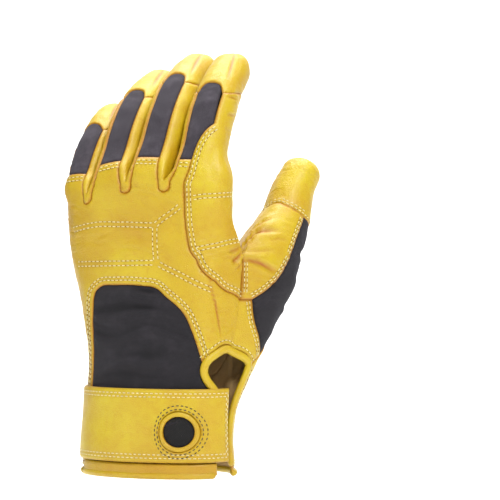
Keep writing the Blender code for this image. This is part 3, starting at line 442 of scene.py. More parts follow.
def thumb_root(turn):
    """X and Y of the thumb's outer side at the web, its ends drawn to the web's two corners."""
    angle = math.radians(THUMB_TURN)
    across = np.array([math.cos(angle), math.sin(angle)])
    back = np.array([math.sin(angle), -math.cos(angle)])

    def place(at):
        x, y = thumb_section(at, np.zeros_like(at), 1.0)
        return np.array(THUMB_BASE) + x[..., None] * across + y[..., None] * back

    share = ((turn - 6) / 2)[..., None]
    first = np.clip(1 - share / WEB_CORNER_REACH, 0, 1) ** 2
    last = np.clip(1 - (1 - share) / WEB_CORNER_REACH, 0, 1) ** 2
    start = np.array(WEB_BACK_CORNER) - place(np.array(6.0))
    end = np.array(WEB_PALM_CORNER) - place(np.array(8.0))
    return place(turn) + first * start + last * end


def web_line(turn):
    """X and Y of the web: the straight line between its two corners."""
    share = ((turn - 6) / 2)[..., None]
    return np.array(WEB_BACK_CORNER) * (1 - share) + np.array(WEB_PALM_CORNER) * share


def web_pull(turn):
    """What the web adds to the hand's section: its side is drawn to the line of the web."""
    level = np.full_like(turn, WEB_HEIGHT)
    first = np.array(WEB_BACK_CORNER) - hand_section(np.array(6.0), np.array(WEB_HEIGHT))
    last = np.array(WEB_PALM_CORNER) - hand_section(np.array(8.0), np.array(WEB_HEIGHT))
    before = smooth((turn - WEB_PULL_TURNS[0]) / (6 - WEB_PULL_TURNS[0]))[..., None] * first
    after = smooth((WEB_PULL_TURNS[1] - turn) / (WEB_PULL_TURNS[1] - 8))[..., None] * last
    inside = web_line(turn) - hand_section(turn, level)
    return np.where((turn < 6)[..., None], before, np.where((turn > 8)[..., None], after, inside))


def hand(turn, rise):
    """The hand's skin: rounded sections up its height, where the thumb's root swells out of the
    side below the web and fades above it. The rise is 0 at the cuff, 1 at the web and 2 at the
    crotches."""
    turn, rise = np.broadcast_arrays(np.asarray(turn, float) % 12.0, np.asarray(rise, float))
    low = rise <= 1.0
    mirrored = np.where(turn > 8, 13 - turn, turn)
    top = CROTCH_HEIGHT - np.interp(mirrored, (1, 2, 3, 4, 5), CROTCHES[:, 1])
    height = np.where(low, WEB_HEIGHT * rise, WEB_HEIGHT + (top - WEB_HEIGHT) * (rise - 1.0))
    flat = hand_section(turn, height)
    below = follow(THUMB_ROOT, np.clip(rise, 0, 1))[..., 0]
    above = 1 - smooth((height - WEB_HEIGHT) / WEB_BLEND_HEIGHT)
    share = np.where(low, below, above)[..., None]
    level = np.full_like(turn, WEB_HEIGHT)
    root = thumb_root(np.clip(turn, 6, 8)) - hand_section(turn, level)
    on_root = ((turn > 6) & (turn < 8) & low)[..., None]
    flat = flat + share * np.where(on_root, root, web_pull(turn))
    return np.concatenate([flat, height[..., None]], -1)


def thumb(turn, rise):
    """The thumb's skin: tapered sections carried up a curved middle line and closed by a dome,
    which grow out of the web's outline. The rise is 1 at the web and 2 at the tip."""
    turn, rise = np.broadcast_arrays(np.asarray(turn, float), np.asarray(rise, float))
    turn = (turn - 6.0) % 4.0 + 6.0
    share, radius = dome(rise - 1.0, 1.0 - THUMB_DOME_SHARE)
    middle, across, back, along = thumb_frame(share)
    x, y = thumb_section(turn, share, radius)
    first = thumb_frame(np.zeros_like(share))
    root = np.where(
        (turn <= 8)[..., None], thumb_root(np.clip(turn, 6, 8)), web_line(16 - turn)
    )
    level = np.full(turn.shape + (1,), WEB_HEIGHT)
    root = np.concatenate([root, level], -1) - first[0]
    base = [(root * axis).sum(-1) for axis in first[1:]]
    grown = smooth(share / THUMB_GROWN_SHARE)
    x = base[0] + (x - base[0]) * grown
    y = base[1] + (y - base[1]) * grown
    z = base[2] * (1 - grown)
    return middle + x[..., None] * across + y[..., None] * back + z[..., None] * along


def finger_spine(number):
    """Shares, middle points and the three section axes of one finger, along its length."""
    _, _, length, lean, curl_root, curl_tip, shift = FINGERS[NAMES[number]]
    turns = np.array([number + 1.0, number + 2.0, 12.0 - number, 11.0 - number])
    base = hand(turns, 2.0).mean(0) + np.array([shift, 0.0, 0.0])
    count = SPINE_COUNT
    share = np.linspace(0, 1, count)
    bent = CURL_EARLY_SHARE * share + (1 - CURL_EARLY_SHARE) * smooth(share)
    curl = np.radians(curl_root + (curl_tip - curl_root) * bent)
    curl = curl * smooth(share / CURL_START_SHARE + CURL_START)
    lean = math.radians(lean)
    along = stack(math.sin(lean) * np.cos(curl), np.sin(curl), math.cos(lean) * np.cos(curl))
    across = np.broadcast_to(np.array([math.cos(lean), 0, -math.sin(lean)]), along.shape)
    back = np.cross(across, along)
    steps = np.cumsum((along[1:] + along[:-1]) / 2, 0) * length / (count - 1)
    return share, base + np.vstack([np.zeros(3), steps]), across, back, along


SPINES = [finger_spine(number) for number in range(len(NAMES))]


def finger_root(number, side, part):
    """The skin's line at the finger's root: the hand's edge, or a line through the crotch."""
    two = np.full_like(part, 2.0)
    back_end = hand(np.full_like(part, number + 2.0), two)
    palm_end = hand(np.full_like(part, 11.0 - number), two)
    back_start = hand(np.full_like(part, number + 1.0), two)
    palm_start = hand(np.full_like(part, 12.0 - number), two)
    edge = hand(np.where(side == 0, number + 1 + part, 11 - number + part), two)
    right = back_end + (palm_end - back_end) * part[..., None]
    left = palm_start + (back_start - palm_start) * part[..., None]
    if number == len(NAMES) - 1:
        right = hand(5 + 3 * part, two)
    if number == 0:
        left = hand(part, two)
    return np.where((side == 1)[..., None], right, np.where((side == 3)[..., None], left, edge))


def finger(number):
    """One finger's skin: rounded squares carried up its curled middle line and closed by a dome,
    which grow out of the hand's edge. The rise is 2 at the root and 3 at the tip."""
    half_width, half_depth, length = FINGERS[NAMES[number]][:3]
    shares, points, across, back, along = SPINES[number]
    start = 1.0 - FINGER_DOME_SHARE * half_width / length
    power = FINGER_SQUARENESS
    corner = FINGER_CORNER_SHARE
    corner_depth = rounded(corner, power)

    def chart(turn, rise):
        turn, rise = np.broadcast_arrays(np.asarray(turn, float) % 4.0, np.asarray(rise, float))
        share, radius = dome(rise - 2.0, start)
        side = np.floor(turn)
        part = turn - side
        cases = [side == 0, side == 1, side == 2]
        run = (2 * part - 1) * corner
        fall = (1 - 2 * part) * corner_depth
        x = np.select(cases, [run, rounded(fall, power), -run], -rounded(fall, power))
        y = np.select(cases, [rounded(run, power), fall, -rounded(run, power)], -fall)
        taper = (1 - FINGER_TAPER * smooth((share - 0.45) / 0.5)) * radius
        x = x * half_width * taper
        y = y * half_depth * taper * (1 - FINGER_TAPER * smooth((share - 0.5) / 0.5))
        root = finger_root(number, side, part) - points[0]
        base = [(root * axis[0]).sum(-1) for axis in (across, back, along)]
        quick = np.sin(np.clip(share / QUICK_SHARE, 0, 1) * math.pi / 2)
        slow = smooth(share / FOOT_SHARE)
        outer = ((side == 1) & (number == 3)) | ((side == 3) & (number == 0))
        x = base[0] + (x - base[0]) * np.where(outer, slow, quick)
        y = base[1] + (y - base[1]) * slow
        z = base[2] * (1 - slow)
        return (
            between_rows(share, shares, points)
            + x[..., None] * between_rows(share, shares, across)
            + y[..., None] * between_rows(share, shares, back)
            + z[..., None] * between_rows(share, shares, along)
        )

    return chart


# Just above the web, where the hand's chart leaves the thumb out.
WEB = 1.0 + 1e-9

# Rough lengths along a chart, so that its triangles come out even. Rows: place, length.
HAND_TURNS = ((-12, 0, 1, 5, 8, 12, 13, 17), (-262, 0, 14, 102, 174, 262, 276, 364))
HAND_RISES = ((0, 1, 2), (0, 123, 166))
CHARTS = {
    "hand": (hand, HAND_TURNS, HAND_RISES, None),
    "thumb": (thumb, ((5, 12), (0, 168)), ((1, 2), (0, 72)), 2.0),
}
for number, name in enumerate(NAMES):
    CHARTS[name] = (finger(number), ((-2, 6), (0, 152)), ((2, 3), (0, 92)), 3.0)


def outward(name, places):
    """Unit normals of the skin at the given places of a chart."""
    chart, _, _, tip = CHARTS[name]
    step = 1e-4
    turn, rise = places.T
    if tip is not None:
        rise = np.minimum(rise, tip - TIP_MARGIN)
    lowest = {"hand": 0.0, "thumb": 1.0}.get(name, 2.0)
    highest = 2.0 if name == "hand" else tip
    below = np.clip(rise - step, lowest, highest)
    above = np.clip(rise + step, lowest, highest)
    if name == "hand":
        below = np.where(np.abs(rise - 1.0) < step, rise, below)
        above = np.where(np.abs(rise - 1.0) < step, np.where(rise > 1.0, above, rise), above)
        below = np.where((rise <= 1.0) & (above - below < step / 2), rise - step, below)
    along = chart(turn, above) - chart(turn, below)
    across = chart(turn + step, rise) - chart(turn - step, rise)
    normal = np.cross(across, along)
    return normal / np.maximum(np.linalg.norm(normal, axis=-1, keepdims=True), 1e-18)


def normals_at(name, places):
    """Outward normals, and along the thumb's web the mean of those on its two sides."""
    found = outward(name, places)
    turn, rise = places.T
    other = {"hand": "thumb", "thumb": "hand"}.get(name)
    if other is None:
        return found
    low, high = (6.0, 8.0) if name == "hand" else (8.0, 10.0)
    on_web = (np.abs(rise - 1.0) < 1e-6) & (turn > low + 1e-6) & (turn < high - 1e-6)
    if name == "hand":
        on_web &= rise > 1.0
    facing = stack(16.0 - turn[on_web], np.full(on_web.sum(), 1.0 if name == "hand" else WEB))
    found[on_web] += outward(other, facing)
    return unit(found)


def to_flat(name, places):
    """The chart's places in rough millimetres, where an even lattice is even on the skin."""
    _, turns, rises, _ = CHARTS[name]
    return stack(np.interp(places[:, 0], *turns), np.interp(places[:, 1], *rises))


def from_flat(name, flat):
    """The chart's places of points in rough millimetres."""
    _, turns, rises, _ = CHARTS[name]
    return stack(
        np.interp(flat[:, 0], turns[1], turns[0]), np.interp(flat[:, 1], rises[1], rises[0])
    )


def signed_area(loop):
    """The flat loop's area, above 0 when it runs anticlockwise."""
    x, y = loop.T
    return float((x * np.roll(y, -1) - np.roll(x, -1) * y).sum()) / 2


def enclosed(triangles, edges):
    """The triangles to the left of the directed edges, as far as no edge is crossed."""
    owner = {}
    for number, (a, b, c) in enumerate(triangles):
        owner[a, b] = owner[b, c] = owner[c, a] = number
    walls = {edge for edge in edges} | {edge[::-1] for edge in edges}
    waiting = [owner[edge] for edge in edges]
    found = set(waiting)
    while waiting:
        a, b, c = triangles[waiting.pop()]
        for edge in ((a, b), (b, c), (c, a)):
            other = owner.get(edge[::-1])
            if edge not in walls and other is not None and other not in found:
                found.add(other)
                waiting.append(other)
    return np.array([triangles[number] for number in sorted(found)])


def rim(triangles):
    """The directed edges that only one triangle has."""
    edges = np.concatenate([triangles[:, [0, 1]], triangles[:, [1, 2]], triangles[:, [2, 0]]])
    known = {tuple(edge) for edge in edges.tolist()}
    return np.array([edge for edge in sorted(known) if edge[::-1] not in known])


def curved(name, edge):
    """The edge as a smooth line of a chart: a cubic through its rows, by length along the skin."""
    rows = np.array(edge, float)
    if len(rows) == 2:
        return edge
    reach = reach_along(CHARTS[name][0](*rows.T))
    count = max(1, math.ceil(reach[-1] / OUTLINE_STEP - 1e-6))
    found = follow(np.column_stack([reach, rows]), np.linspace(0, reach[-1], count + 1))
    found[0], found[-1] = rows[0], rows[-1]
    return [tuple(place) for place in found.tolist()]


def divided(name, loop, step):
    """The closed outline with points added, so that no stretch of it is longer than the step."""
    start = np.array(loop, float)
    end = np.roll(start, -1, axis=0)
    trial = start[:, None] + (end - start)[:, None] * np.linspace(0, 1, 9)[None, :, None]
    points = CHARTS[name][0](trial[..., 0], trial[..., 1])
    length = np.linalg.norm(np.diff(points, axis=1), axis=2).sum(1)
    count = np.maximum(1, np.ceil(length / step - 1e-6)).astype(int)
    index = np.repeat(np.arange(len(start)), count)
    share = (np.arange(count.sum()) - np.repeat(np.cumsum(count) - count, count)) / count[index]
    return start[index] + (end - start)[index] * share[:, None]


def gap_to(points, starts, ends):
    """Distance of each point to the nearest segment, that segment and the share along it."""
    best = np.full(len(points), 1e9)
    which = np.zeros(len(points), int)
    along = np.zeros(len(points))
    for number, (a, b) in enumerate(zip(starts, ends)):
        span = b - a
        share = np.clip((points - a) @ span / max(float(span @ span), 1e-18), 0, 1)
        gap = ((points - a - share[:, None] * span) ** 2).sum(1)
        nearer = gap < best
        best[nearer] = gap[nearer]
        which[nearer] = number
        along[nearer] = share[nearer]
    return np.sqrt(best), which, along


def rim_gap(points, edges):
    """Distance of each point to the nearest of its surface's own edges."""
    return gap_to(points, points[edges[:, 0]], points[edges[:, 1]])[0]


def beside(points, line, margin):
    """The numbers of the points in the line's box, grown by the margin."""
    middle = line.mean(0)
    return np.flatnonzero((np.abs(points - middle) < np.abs(line - middle).max(0) + margin).all(1))


def tiled(name, outline, holes, step):
    """Places and triangles over an outline of a chart: an even lattice, joined to the outline."""
    loops = [divided(name, list(loop), step * RIM_SHARE) for loop in [outline, *holes]]
    flats = [to_flat(name, loop) for loop in loops]
    for number, flat in enumerate(flats):
        if (signed_area(flat) > 0) == (number > 0):
            loops[number] = loops[number][::-1]
            flats[number] = flat[::-1]
    low = flats[0].min(0)
    high = flats[0].max(0)
    spacing = step / MM
    count = max(2, round((high[1] - low[1]) / (LATTICE_ROW_SHARE * spacing)))
    rows = np.linspace(low[1], high[1], count + 1)[:-1] + (high[1] - low[1]) / count / 2
    columns = np.arange(low[0], high[0], spacing)
    x, y = np.meshgrid(columns, rows)
    x = x + np.where(np.arange(count)[:, None] % 2, 0.25, 0.75) * spacing
    lattice = stack(x, y).reshape(-1, 2)
    lattice = lattice[surrounded(lattice, flats)]
    lattice = lattice[~nearer_than(lattice, np.vstack(flats), CLEAR_SHARE * spacing)]
    places = np.vstack([*loops, from_flat(name, lattice)])
    flat = np.vstack([*flats, lattice])
    edges = []
    first = 0
    for loop in loops:
        size = len(loop)
        edges += [(first + at, first + (at + 1) % size) for at in range(size)]
        first += size
    edge = [low - spacing, (high[0] + spacing, low[1] - spacing), high + spacing]
    edge.append((low[0] - spacing, high[1] + spacing))
    found = delaunay_2d_cdt([Vector(point) for point in (*flat, *edge)], edges, [], 0, 1e-6)
    origin = np.array([source[0] for source in found[3]])
    return places, enclosed(origin[np.array(found[2])].tolist(), edges)


def surrounded(points, loops):
    """True for each point that an odd number of loops surrounds."""
    result = np.zeros(len(points), bool)
    for loop in loops:
        for a, b in zip(loop, np.roll(loop, -1, axis=0)):
            if a[1] != b[1]:
                crosses = (a[1] > points[:, 1]) != (b[1] > points[:, 1])
                at = a[0] + (points[:, 1] - a[1]) / (b[1] - a[1]) * (b[0] - a[0])
                result ^= crosses & (points[:, 0] < at)
    return result


def nearer_than(points, others, distance):
    """True for each point with one of the others within the distance."""
    result = np.zeros(len(points), bool)
    for first in range(0, len(points), 2000):
        part = points[first : first + 2000]
        gap = ((part[:, None] - others[None]) ** 2).sum(2).min(1)
        result[first : first + 2000] = gap < distance**2
    return result


def welded(regions, step):
    """One surface for all regions of a piece: points, normals and triangles."""
    points, normals, triangles = [], [], []
    first = 0
    for name, outline, *holes in regions:
        places, faces = tiled(name, outline, holes, step)
        points.append(CHARTS[name][0](*places.T))
        normals.append(normals_at(name, places))
        triangles.append(faces + first)
        first += len(places)
    points, normals, triangles = np.vstack(points), np.vstack(normals), np.vstack(triangles)
    grid = np.round(points / WELD + WELD_SHIFT).astype(np.int64)
    _, kept, index = np.unique(grid, axis=0, return_index=True, return_inverse=True)
    index = index.reshape(-1)
    joined = np.zeros((len(kept), 3))
    np.add.at(joined, index, normals)
    points = points[kept]
    triangles = index[triangles]
    whole = (triangles != np.roll(triangles, 1, axis=1)).all(1)
    used, renumbered = np.unique(triangles[whole], return_inverse=True)
    return points[used], unit(joined)[used], renumbered.reshape(-1, 3)


def ripple(points, wavelength, seed, waves=7):
    """Smooth unevenness from -1 to 1: a sum of plane waves in fixed directions."""
    rng = np.random.default_rng(seed)
    total = np.zeros(len(points))
    for _ in range(waves):
        way = rng.normal(size=3)
        way *= 2 * math.pi / wavelength / np.linalg.norm(way) * rng.uniform(0.6, 1.5)
        total += np.sin(points @ way + rng.uniform(0, 2 * math.pi))
    return total / math.sqrt(waves)


def on_skin(name, edge, step=LINE_STEP):
    """Points and outward normals, at even steps, of a smooth line through places of a chart."""
    rows = np.array(edge, float)
    chart = CHARTS[name][0]
    reach = reach_along(chart(*rows.T))
    count = max(2, round(reach[-1] / step))
    places = follow(np.column_stack([reach, rows]), np.linspace(0, reach[-1], count + 1))
    return chart(*places.T), normals_at(name, places)


def shifted(points, normals, distance):
    """The line moved sideways along the skin, to its right seen from outside."""
    way = np.cross(np.gradient(points, axis=0), normals)
    return points + way * (distance / np.linalg.norm(way, axis=1, keepdims=True))


def back_to_front(edge):
    """The edge run the other way."""
    return edge[::-1]


def fabric_outline(name):
    """The left and right edges, the lower edge and the curved top of a finger's fabric."""
    left, right, low, side_top, top = FINGER_FABRIC[name]
    middle = (left + right) / 2
    arc = [(right, side_top), (middle + 0.24, top - 0.01), (middle, top)]
    return left, right, low, curved(name, [*arc, (middle - 0.24, top - 0.01), (left, side_top)])


def pad_outline(number):
    """The curved top of a finger's pad, from the side towards the index finger."""
    _, side, top = PAD_RISES
    start, end = PAD_TURNS
    if number == 0:
        end = 4 + FINGER_FABRIC["little"][0]
    middle = (start + end) / 2
    arc = [(start, side), (middle - 0.3, top - 0.01), (middle, top), (middle + 0.3, top - 0.01)]
    return curved(NAMES[number], [*arc, (end, side)])


def finger_regions(number):
    """The outlines of one finger's fabric, pad and cap."""
    name = NAMES[number]
    left, right, low, arc = fabric_outline(name)
    pad_arc = pad_outline(number)
    pad_low, pad_side, _ = PAD_RISES
    fabric = [(left, low), (right, low), *arc]
    if number == 3:
        fabric = [(left, low), *back_to_front(patch_on_finger()), *arc[1:]]
    pad = [(pad_arc[0][0], pad_low), *pad_arc, (pad_arc[-1][0], pad_low)]
    seam = [(4 + left, arc[-1][1])] if number else []
    cap = [*back_to_front(arc), *pad_arc, *seam, (4 + left, 3.0), (left, 3.0)]
    if number == 0:
        cap.append((left, pad_side))
    return fabric, pad, cap


def patch_on_finger():
    """The index patch's edge along the finger's fabric, down to the fabric's lower edge."""
    return curved("index", INDEX_PATCH_FINGER_EDGE)


def loop_end(turn, drop):
    """The rounded lower end of a strip between fingers, on the hand."""
    half = LOOP_TURN
    low = [
        (turn - half * math.cos(angle), 2 - drop + LOOP_DEPTH * (1 - math.sin(angle)))
        for angle in np.linspace(0, math.pi, LOOP_POINTS).tolist()
    ]
    return [(turn - half, 2.0), *low, (turn + half, 2.0)]


def strip_regions(number):
    """The outlines of the strip between two fingers, with its loop ends on the back and palm."""
    one, two = NAMES[number], NAMES[number + 1]
    _, right, _, arc = fabric_outline(one)
    left, _, _, next_arc = fabric_outline(two)
    pad_side = PAD_RISES[1]
    first, last = PAD_TURNS
    half = LOOP_TURN
    on_one = [(1 - half, 2.0), (1.0, 2.0), (2.0, 2.0), (2 + half, 2.0), (first, FOOT_RISE)]
    on_one += [(first, pad_side), arc[0], (right, FOOT_RISE)]
    on_two = [(half, 2.0), (left, FOOT_RISE), next_arc[-1], (last - 4, pad_side)]
    on_two += [(last - 4, FOOT_RISE), (-1 - half, 2.0), (-1.0, 2.0), (0.0, 2.0)]
    ends = []
    for turn, drop in ((number + 2.0, LOOP_RISE), (11.0 - number, PALM_LOOP_RISE)):
        ends.append(("hand", [*loop_end(turn, drop), (turn, 2.0)]))
    return [(one, on_one), (two, on_two), *ends]


def back_regions():
    """The outlines of the leather on the back of the hand."""
    half = LOOP_TURN
    top = []
    bands = []
    for number, name in enumerate(NAMES):
        left, right, low, _ = fabric_outline(name)
        if number:
            top += loop_end(number + 1.0, LOOP_RISE)
            start = [(left, low), (left, FOOT_RISE), (half, 2.0)]
        else:
            top += [(1 + left, 2.0), (1.0, 2.0)]
            start = [(left, low), (left, 2.0), (0.0, 2.0)]
        end = [(1 - half, 2.0), (right, FOOT_RISE), (right, low)]
        if number == 3:
            end = back_to_front(INDEX_PATCH_BAND_EDGE)
        bands.append((name, start + end))
    around = [*top, *curved("hand", INDEX_PATCH_HAND_EDGE), *SADDLE_BACK_EDGE[1:]]
    around += [*back_to_front(curved("hand", GUSSET_BACK_EDGE))[1:]]
    around += [*back_to_front(curved("hand", SLIT_TOP_EDGE)), *curved("hand", WRIST_TOP_EDGE)[1:]]
    around += [(LEFT_SEAM_TURN, HEM_RISE), (LEFT_SEAM_TURN, 1.0)]
    return [("hand", around), *bands]


def thenar_edge():
    """The thenar panel's edge against the palm, with a corner where the hand's side ends."""
    return [*curved("hand", THENAR_SIDE_EDGE), *curved("hand", THENAR_PALM_EDGE)[1:]]


def palm_regions():
    """The outlines of the palm's main leather, which wraps round the wrist to the slit."""
    half = LOOP_TURN
    pad_low = PAD_RISES[0]
    first, last = PAD_TURNS
    seam = 4 + FINGER_FABRIC["little"][0]
    index_side = 1 + (INDEX_PALM_TURN - 5) / 3
    top = [(INDEX_PALM_TURN, 2.0), (8.0, 2.0)]
    for turn in (9.0, 10.0, 11.0):
        top += loop_end(turn, PALM_LOOP_RISE)
    side = 12 + LEFT_SEAM_TURN
    top += [(12.0, 2.0), (9 + seam, 2.0), (side, 1.0), (side, HEM_RISE)]
    around = [*back_to_front(curved("hand", SLIT_RIGHT_EDGE)), GUSSET_BACK_EDGE[0]]
    around += [*back_to_front(curved("hand", GUSSET_PALM_EDGE))[1:]]
    around += [*thenar_edge()[1:], *curved("hand", PATCH_PALM_EDGE)[1:]]
    around += [(PATCH_PALM_EDGE[-1][0], PATCH_TOP_RISE), (INDEX_PALM_TURN, PATCH_TOP_RISE), *top]
    regions = [("hand", around)]
    for number, name in enumerate(NAMES):
        start = [(first, pad_low), (first, FOOT_RISE), (2 + half, 2.0)]
        end = [(3 - half, 2.0), (last, FOOT_RISE), (last, pad_low)]
        if number == 3:
            start = [(first, pad_low), (first, FOOT_RISE), (index_side, 2.0), (2.0, 2.0)]
        if number == 0:
            end = [(3.0, 2.0), (seam, 2.0), (seam, pad_low)]
        regions.append((name, start + end))
    return regions


def index_patch_regions():
    """The outlines of the patch on the index finger's side, down to the thumb's web."""
    first = PAD_TURNS[0]
    _, _, _, arc = fabric_outline("index")
    index_side = 1 + (INDEX_PALM_TURN - 5) / 3
    on_finger = back_to_front(INDEX_PATCH_BAND_EDGE)[:-1]
    on_finger += [*back_to_front(patch_on_finger()), arc[0]]
    on_finger += [(first, PAD_RISES[1]), (first, FOOT_RISE), (index_side, 2.0), (1.0, 2.0)]
    on_hand = [*curved("hand", INDEX_PATCH_HAND_EDGE), (6.0, 1.0), (INDEX_PALM_TURN, WEB)]
    on_hand += [(INDEX_PALM_TURN, PATCH_TOP_RISE), (INDEX_PALM_TURN, 2.0), (5.0, 2.0)]
    return [("index", on_finger), ("hand", on_hand)]


def thumb_regions():
    """The outlines of the saddle patch, the cap, the gusset and the thenar panel."""
    saddle_turn = SADDLE_GUSSET_EDGE[-1][0]
    gusset_turn = GUSSET_THENAR_EDGE[0][0]
    cap_gusset = curved("thumb", CAP_GUSSET_EDGE)
    cap_saddle = curved("thumb", CAP_SADDLE_EDGE)
    saddle_gusset = curved("hand", SADDLE_GUSSET_EDGE)
    gusset_thenar = curved("hand", GUSSET_THENAR_EDGE)
    saddle_thumb = [(SADDLE_PALM_TURN, 1.0), (10.0, 1.0), (4 + saddle_turn, 1.0)]
    saddle_hand = [*SADDLE_BACK_EDGE, *saddle_gusset[1:], (6.0, 1.0)]
    cap = [*cap_gusset, *CAP_THENAR_EDGE[1:], *cap_saddle[1:], (4 + saddle_turn, 2.0)]
    gusset_hand = [*gusset_thenar, *curved("hand", GUSSET_PALM_EDGE)[1:]]
    gusset_hand += curved("hand", GUSSET_BACK_EDGE)[1:]
    gusset_hand += saddle_gusset[1:]
    thenar_thumb = [(gusset_turn, 1.0), (8.0, 1.0), (SADDLE_PALM_TURN, 1.0)]
    thenar_hand = [*gusset_thenar, *thenar_edge()[1:]]
    thenar_hand += curved("hand", THENAR_PATCH_EDGE)[1:]
    return {
        "thumb_saddle": [("hand", saddle_hand), ("thumb", [*saddle_thumb, *cap_saddle[::-1]])],
        "thumb_cap": [("thumb", [*cap, (saddle_turn, 2.0)])],
        "thumb_gusset": [
            ("thumb", [(saddle_turn, 1.0), (gusset_turn, 1.0), *cap_gusset[::-1]]),
            ("hand", gusset_hand),
        ],
        "thenar_panel": [
            ("thumb", [*thenar_thumb, *back_to_front(CAP_THENAR_EDGE)]),
            ("hand", thenar_hand),
        ],
    }


def palm_patch_regions():
    """The outline of the raised patch across the palm."""
    edge = [*curved("hand", THENAR_PATCH_EDGE), (INDEX_PALM_TURN, WEB)]
    edge += [(INDEX_PALM_TURN, PATCH_TOP_RISE), (PATCH_PALM_EDGE[-1][0], PATCH_TOP_RISE)]
    return [("hand", [*edge, *back_to_front(curved("hand", PATCH_PALM_EDGE))[:-1]])]


def wrist_regions():
    """The outline of the wrist's fabric."""
    edge = [*curved("hand", SLIT_LEFT_EDGE), *curved("hand", WRIST_TOP_EDGE)[1:]]
    return [("hand", edge)]


# Stitched rows on the back. Columns: chart, places, offsets to the line's right in millimetres.
BACK_ROWS = [
    ("hand", [(1.25, 1.50), (2.25, 1.512), (2.95, 1.455), (3.74, 1.432)], (-1.3, 1.3)),
    ("hand", [(3.80, 1.43), (4.20, 1.604), (4.36, 1.69)], (-1.3, 1.3)),
    ("hand", [(3.80, 1.41), (3.79, 1.176), (3.80, 0.99)], (-1.3, 1.3)),
    ("hand", [(1.30, 0.972), (2.61, 0.976), (3.73, 0.98)], (-1.3, 1.3)),
    ("hand", [(3.86, 0.976), (4.30, 0.93), (4.60, 0.895), (4.95, 0.855)], (-1.3, 1.3)),
]


def length(label, description, default):
    """A property for a length."""
    return FloatProperty(name=label, description=description, default=default, unit="LENGTH")


def shade(label, description, *default):
    """A property for a colour."""
    kind = {"subtype": "COLOR", "size": 4, "min": 0, "max": 1}
    return FloatVectorProperty(name=label, description=description, default=(*default, 1.0), **kind)


class GloveSizes(bpy.types.PropertyGroup):
    """Sizes of the glove's finished surfaces."""

    edge_drop: length("Edge drop", "How far a panel's edge turns down into its seam", 0.55 * MM)
    edge_width: length("Edge width", "Width of the turned edge", 1.5 * MM)
    stitch_length: length("Stitch length", "Length of one stitch", STITCH_LENGTH)
    thread_radius: length("Thread radius", "Radius of the sewing thread", 0.31 * MM)
    unevenness: length("Unevenness", "Height of the leather's soft waves", 0.42 * MM)


class GloveColours(bpy.types.PropertyGroup):
    """Colours of the glove's leather, fabric and thread."""

    leather: shade("Leather", "Golden leather", 0.465, 0.322, 0.004)
    # Deep colour: painted shade darkens the leather to it in seams, creases and on shaded sides,
    # and the random stains take some of it.
    leather_shade_and_stain: shade("Leather in folds", "Leather in seams and creases", 0.31, 0.066, 0.001)
    # Painted shade: the finger pads are the golden leather darkened to a deeper orange, as they lay
    # in shade.
    pads: shade("Pads", "Darker palm leather of the finger pads", 0.34, 0.145, 0.003)
    finger_fabric: shade("Finger fabric", "Dark knit on the finger backs", 0.033, 0.028, 0.035)
    thread: shade("Thread", "Sewing thread", 0.74, 0.66, 0.33)


def sizes():
    """The scene's glove sizes."""
    return bpy.context.scene.glove_sizes


def colours():
    """The scene's glove colours."""
    return bpy.context.scene.glove_colours


def mesh_piece(name, points, faces, material, painted_shade=None):
    """A smooth mesh at the origin that rides the glove's one body, with the painted shade that
    darkens its colour.
    """
    mesh = bpy.data.meshes.new(name)
    faces = np.asarray(faces)
    width = faces.shape[1]
    mesh.vertices.add(len(points))
    mesh.vertices.foreach_set("co", np.asarray(points, np.float32).ravel())
    mesh.loops.add(faces.size)
    mesh.loops.foreach_set("vertex_index", faces.astype(np.int32).ravel())
    mesh.polygons.add(len(faces))
    mesh.polygons.foreach_set("loop_start", np.arange(0, faces.size, width, dtype=np.int32))
    mesh.update(calc_edges=True)
    mesh.polygons.foreach_set("use_smooth", np.ones(len(faces), bool))
    # Painted shade: a point attribute from 0 to 1 by which the materials darken the colour in
    # seams, creases, hollows and on shaded sides.
    if painted_shade is not None:
        layer = mesh.attributes.new("painted_shade", "FLOAT", "POINT")
        layer.data.foreach_set("value", np.asarray(painted_shade, np.float32))
    mesh.materials.append(material)
    made = bpy.data.objects.new(name, mesh)
    bpy.context.scene.collection.objects.link(made)
    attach(made, "root")
    return made


def group_socket(group, name, kind, output=False, default=None):
    """Adds an input or output to a node group."""
    way = "OUTPUT" if output else "INPUT"
    made = group.interface.new_socket(name=name, in_out=way, socket_type=kind)
    if default is not None:
        made.default_value = default
    return made


def node(tree, kind, **values):
    """A node of the tree; values name its inputs or its own settings."""
    made = tree.nodes.new(kind)
    for key, value in values.items():
        if key in made.inputs:
            made.inputs[key].default_value = value
        else:
            setattr(made, key, value)
    return made


def new_group(name, amount_name, amount, outputs):
    """A node group that takes a coordinate and an amount, with its two end nodes."""
    group = bpy.data.node_groups.new(name, "ShaderNodeTree")
    group_socket(group, "Coordinate", "NodeSocketVector")
    group_socket(group, amount_name, "NodeSocketFloat", default=amount)
    for output in outputs:
        group_socket(group, output, "NodeSocketFloat", True)
    return group, node(group, "NodeGroupInput"), node(group, "NodeGroupOutput")


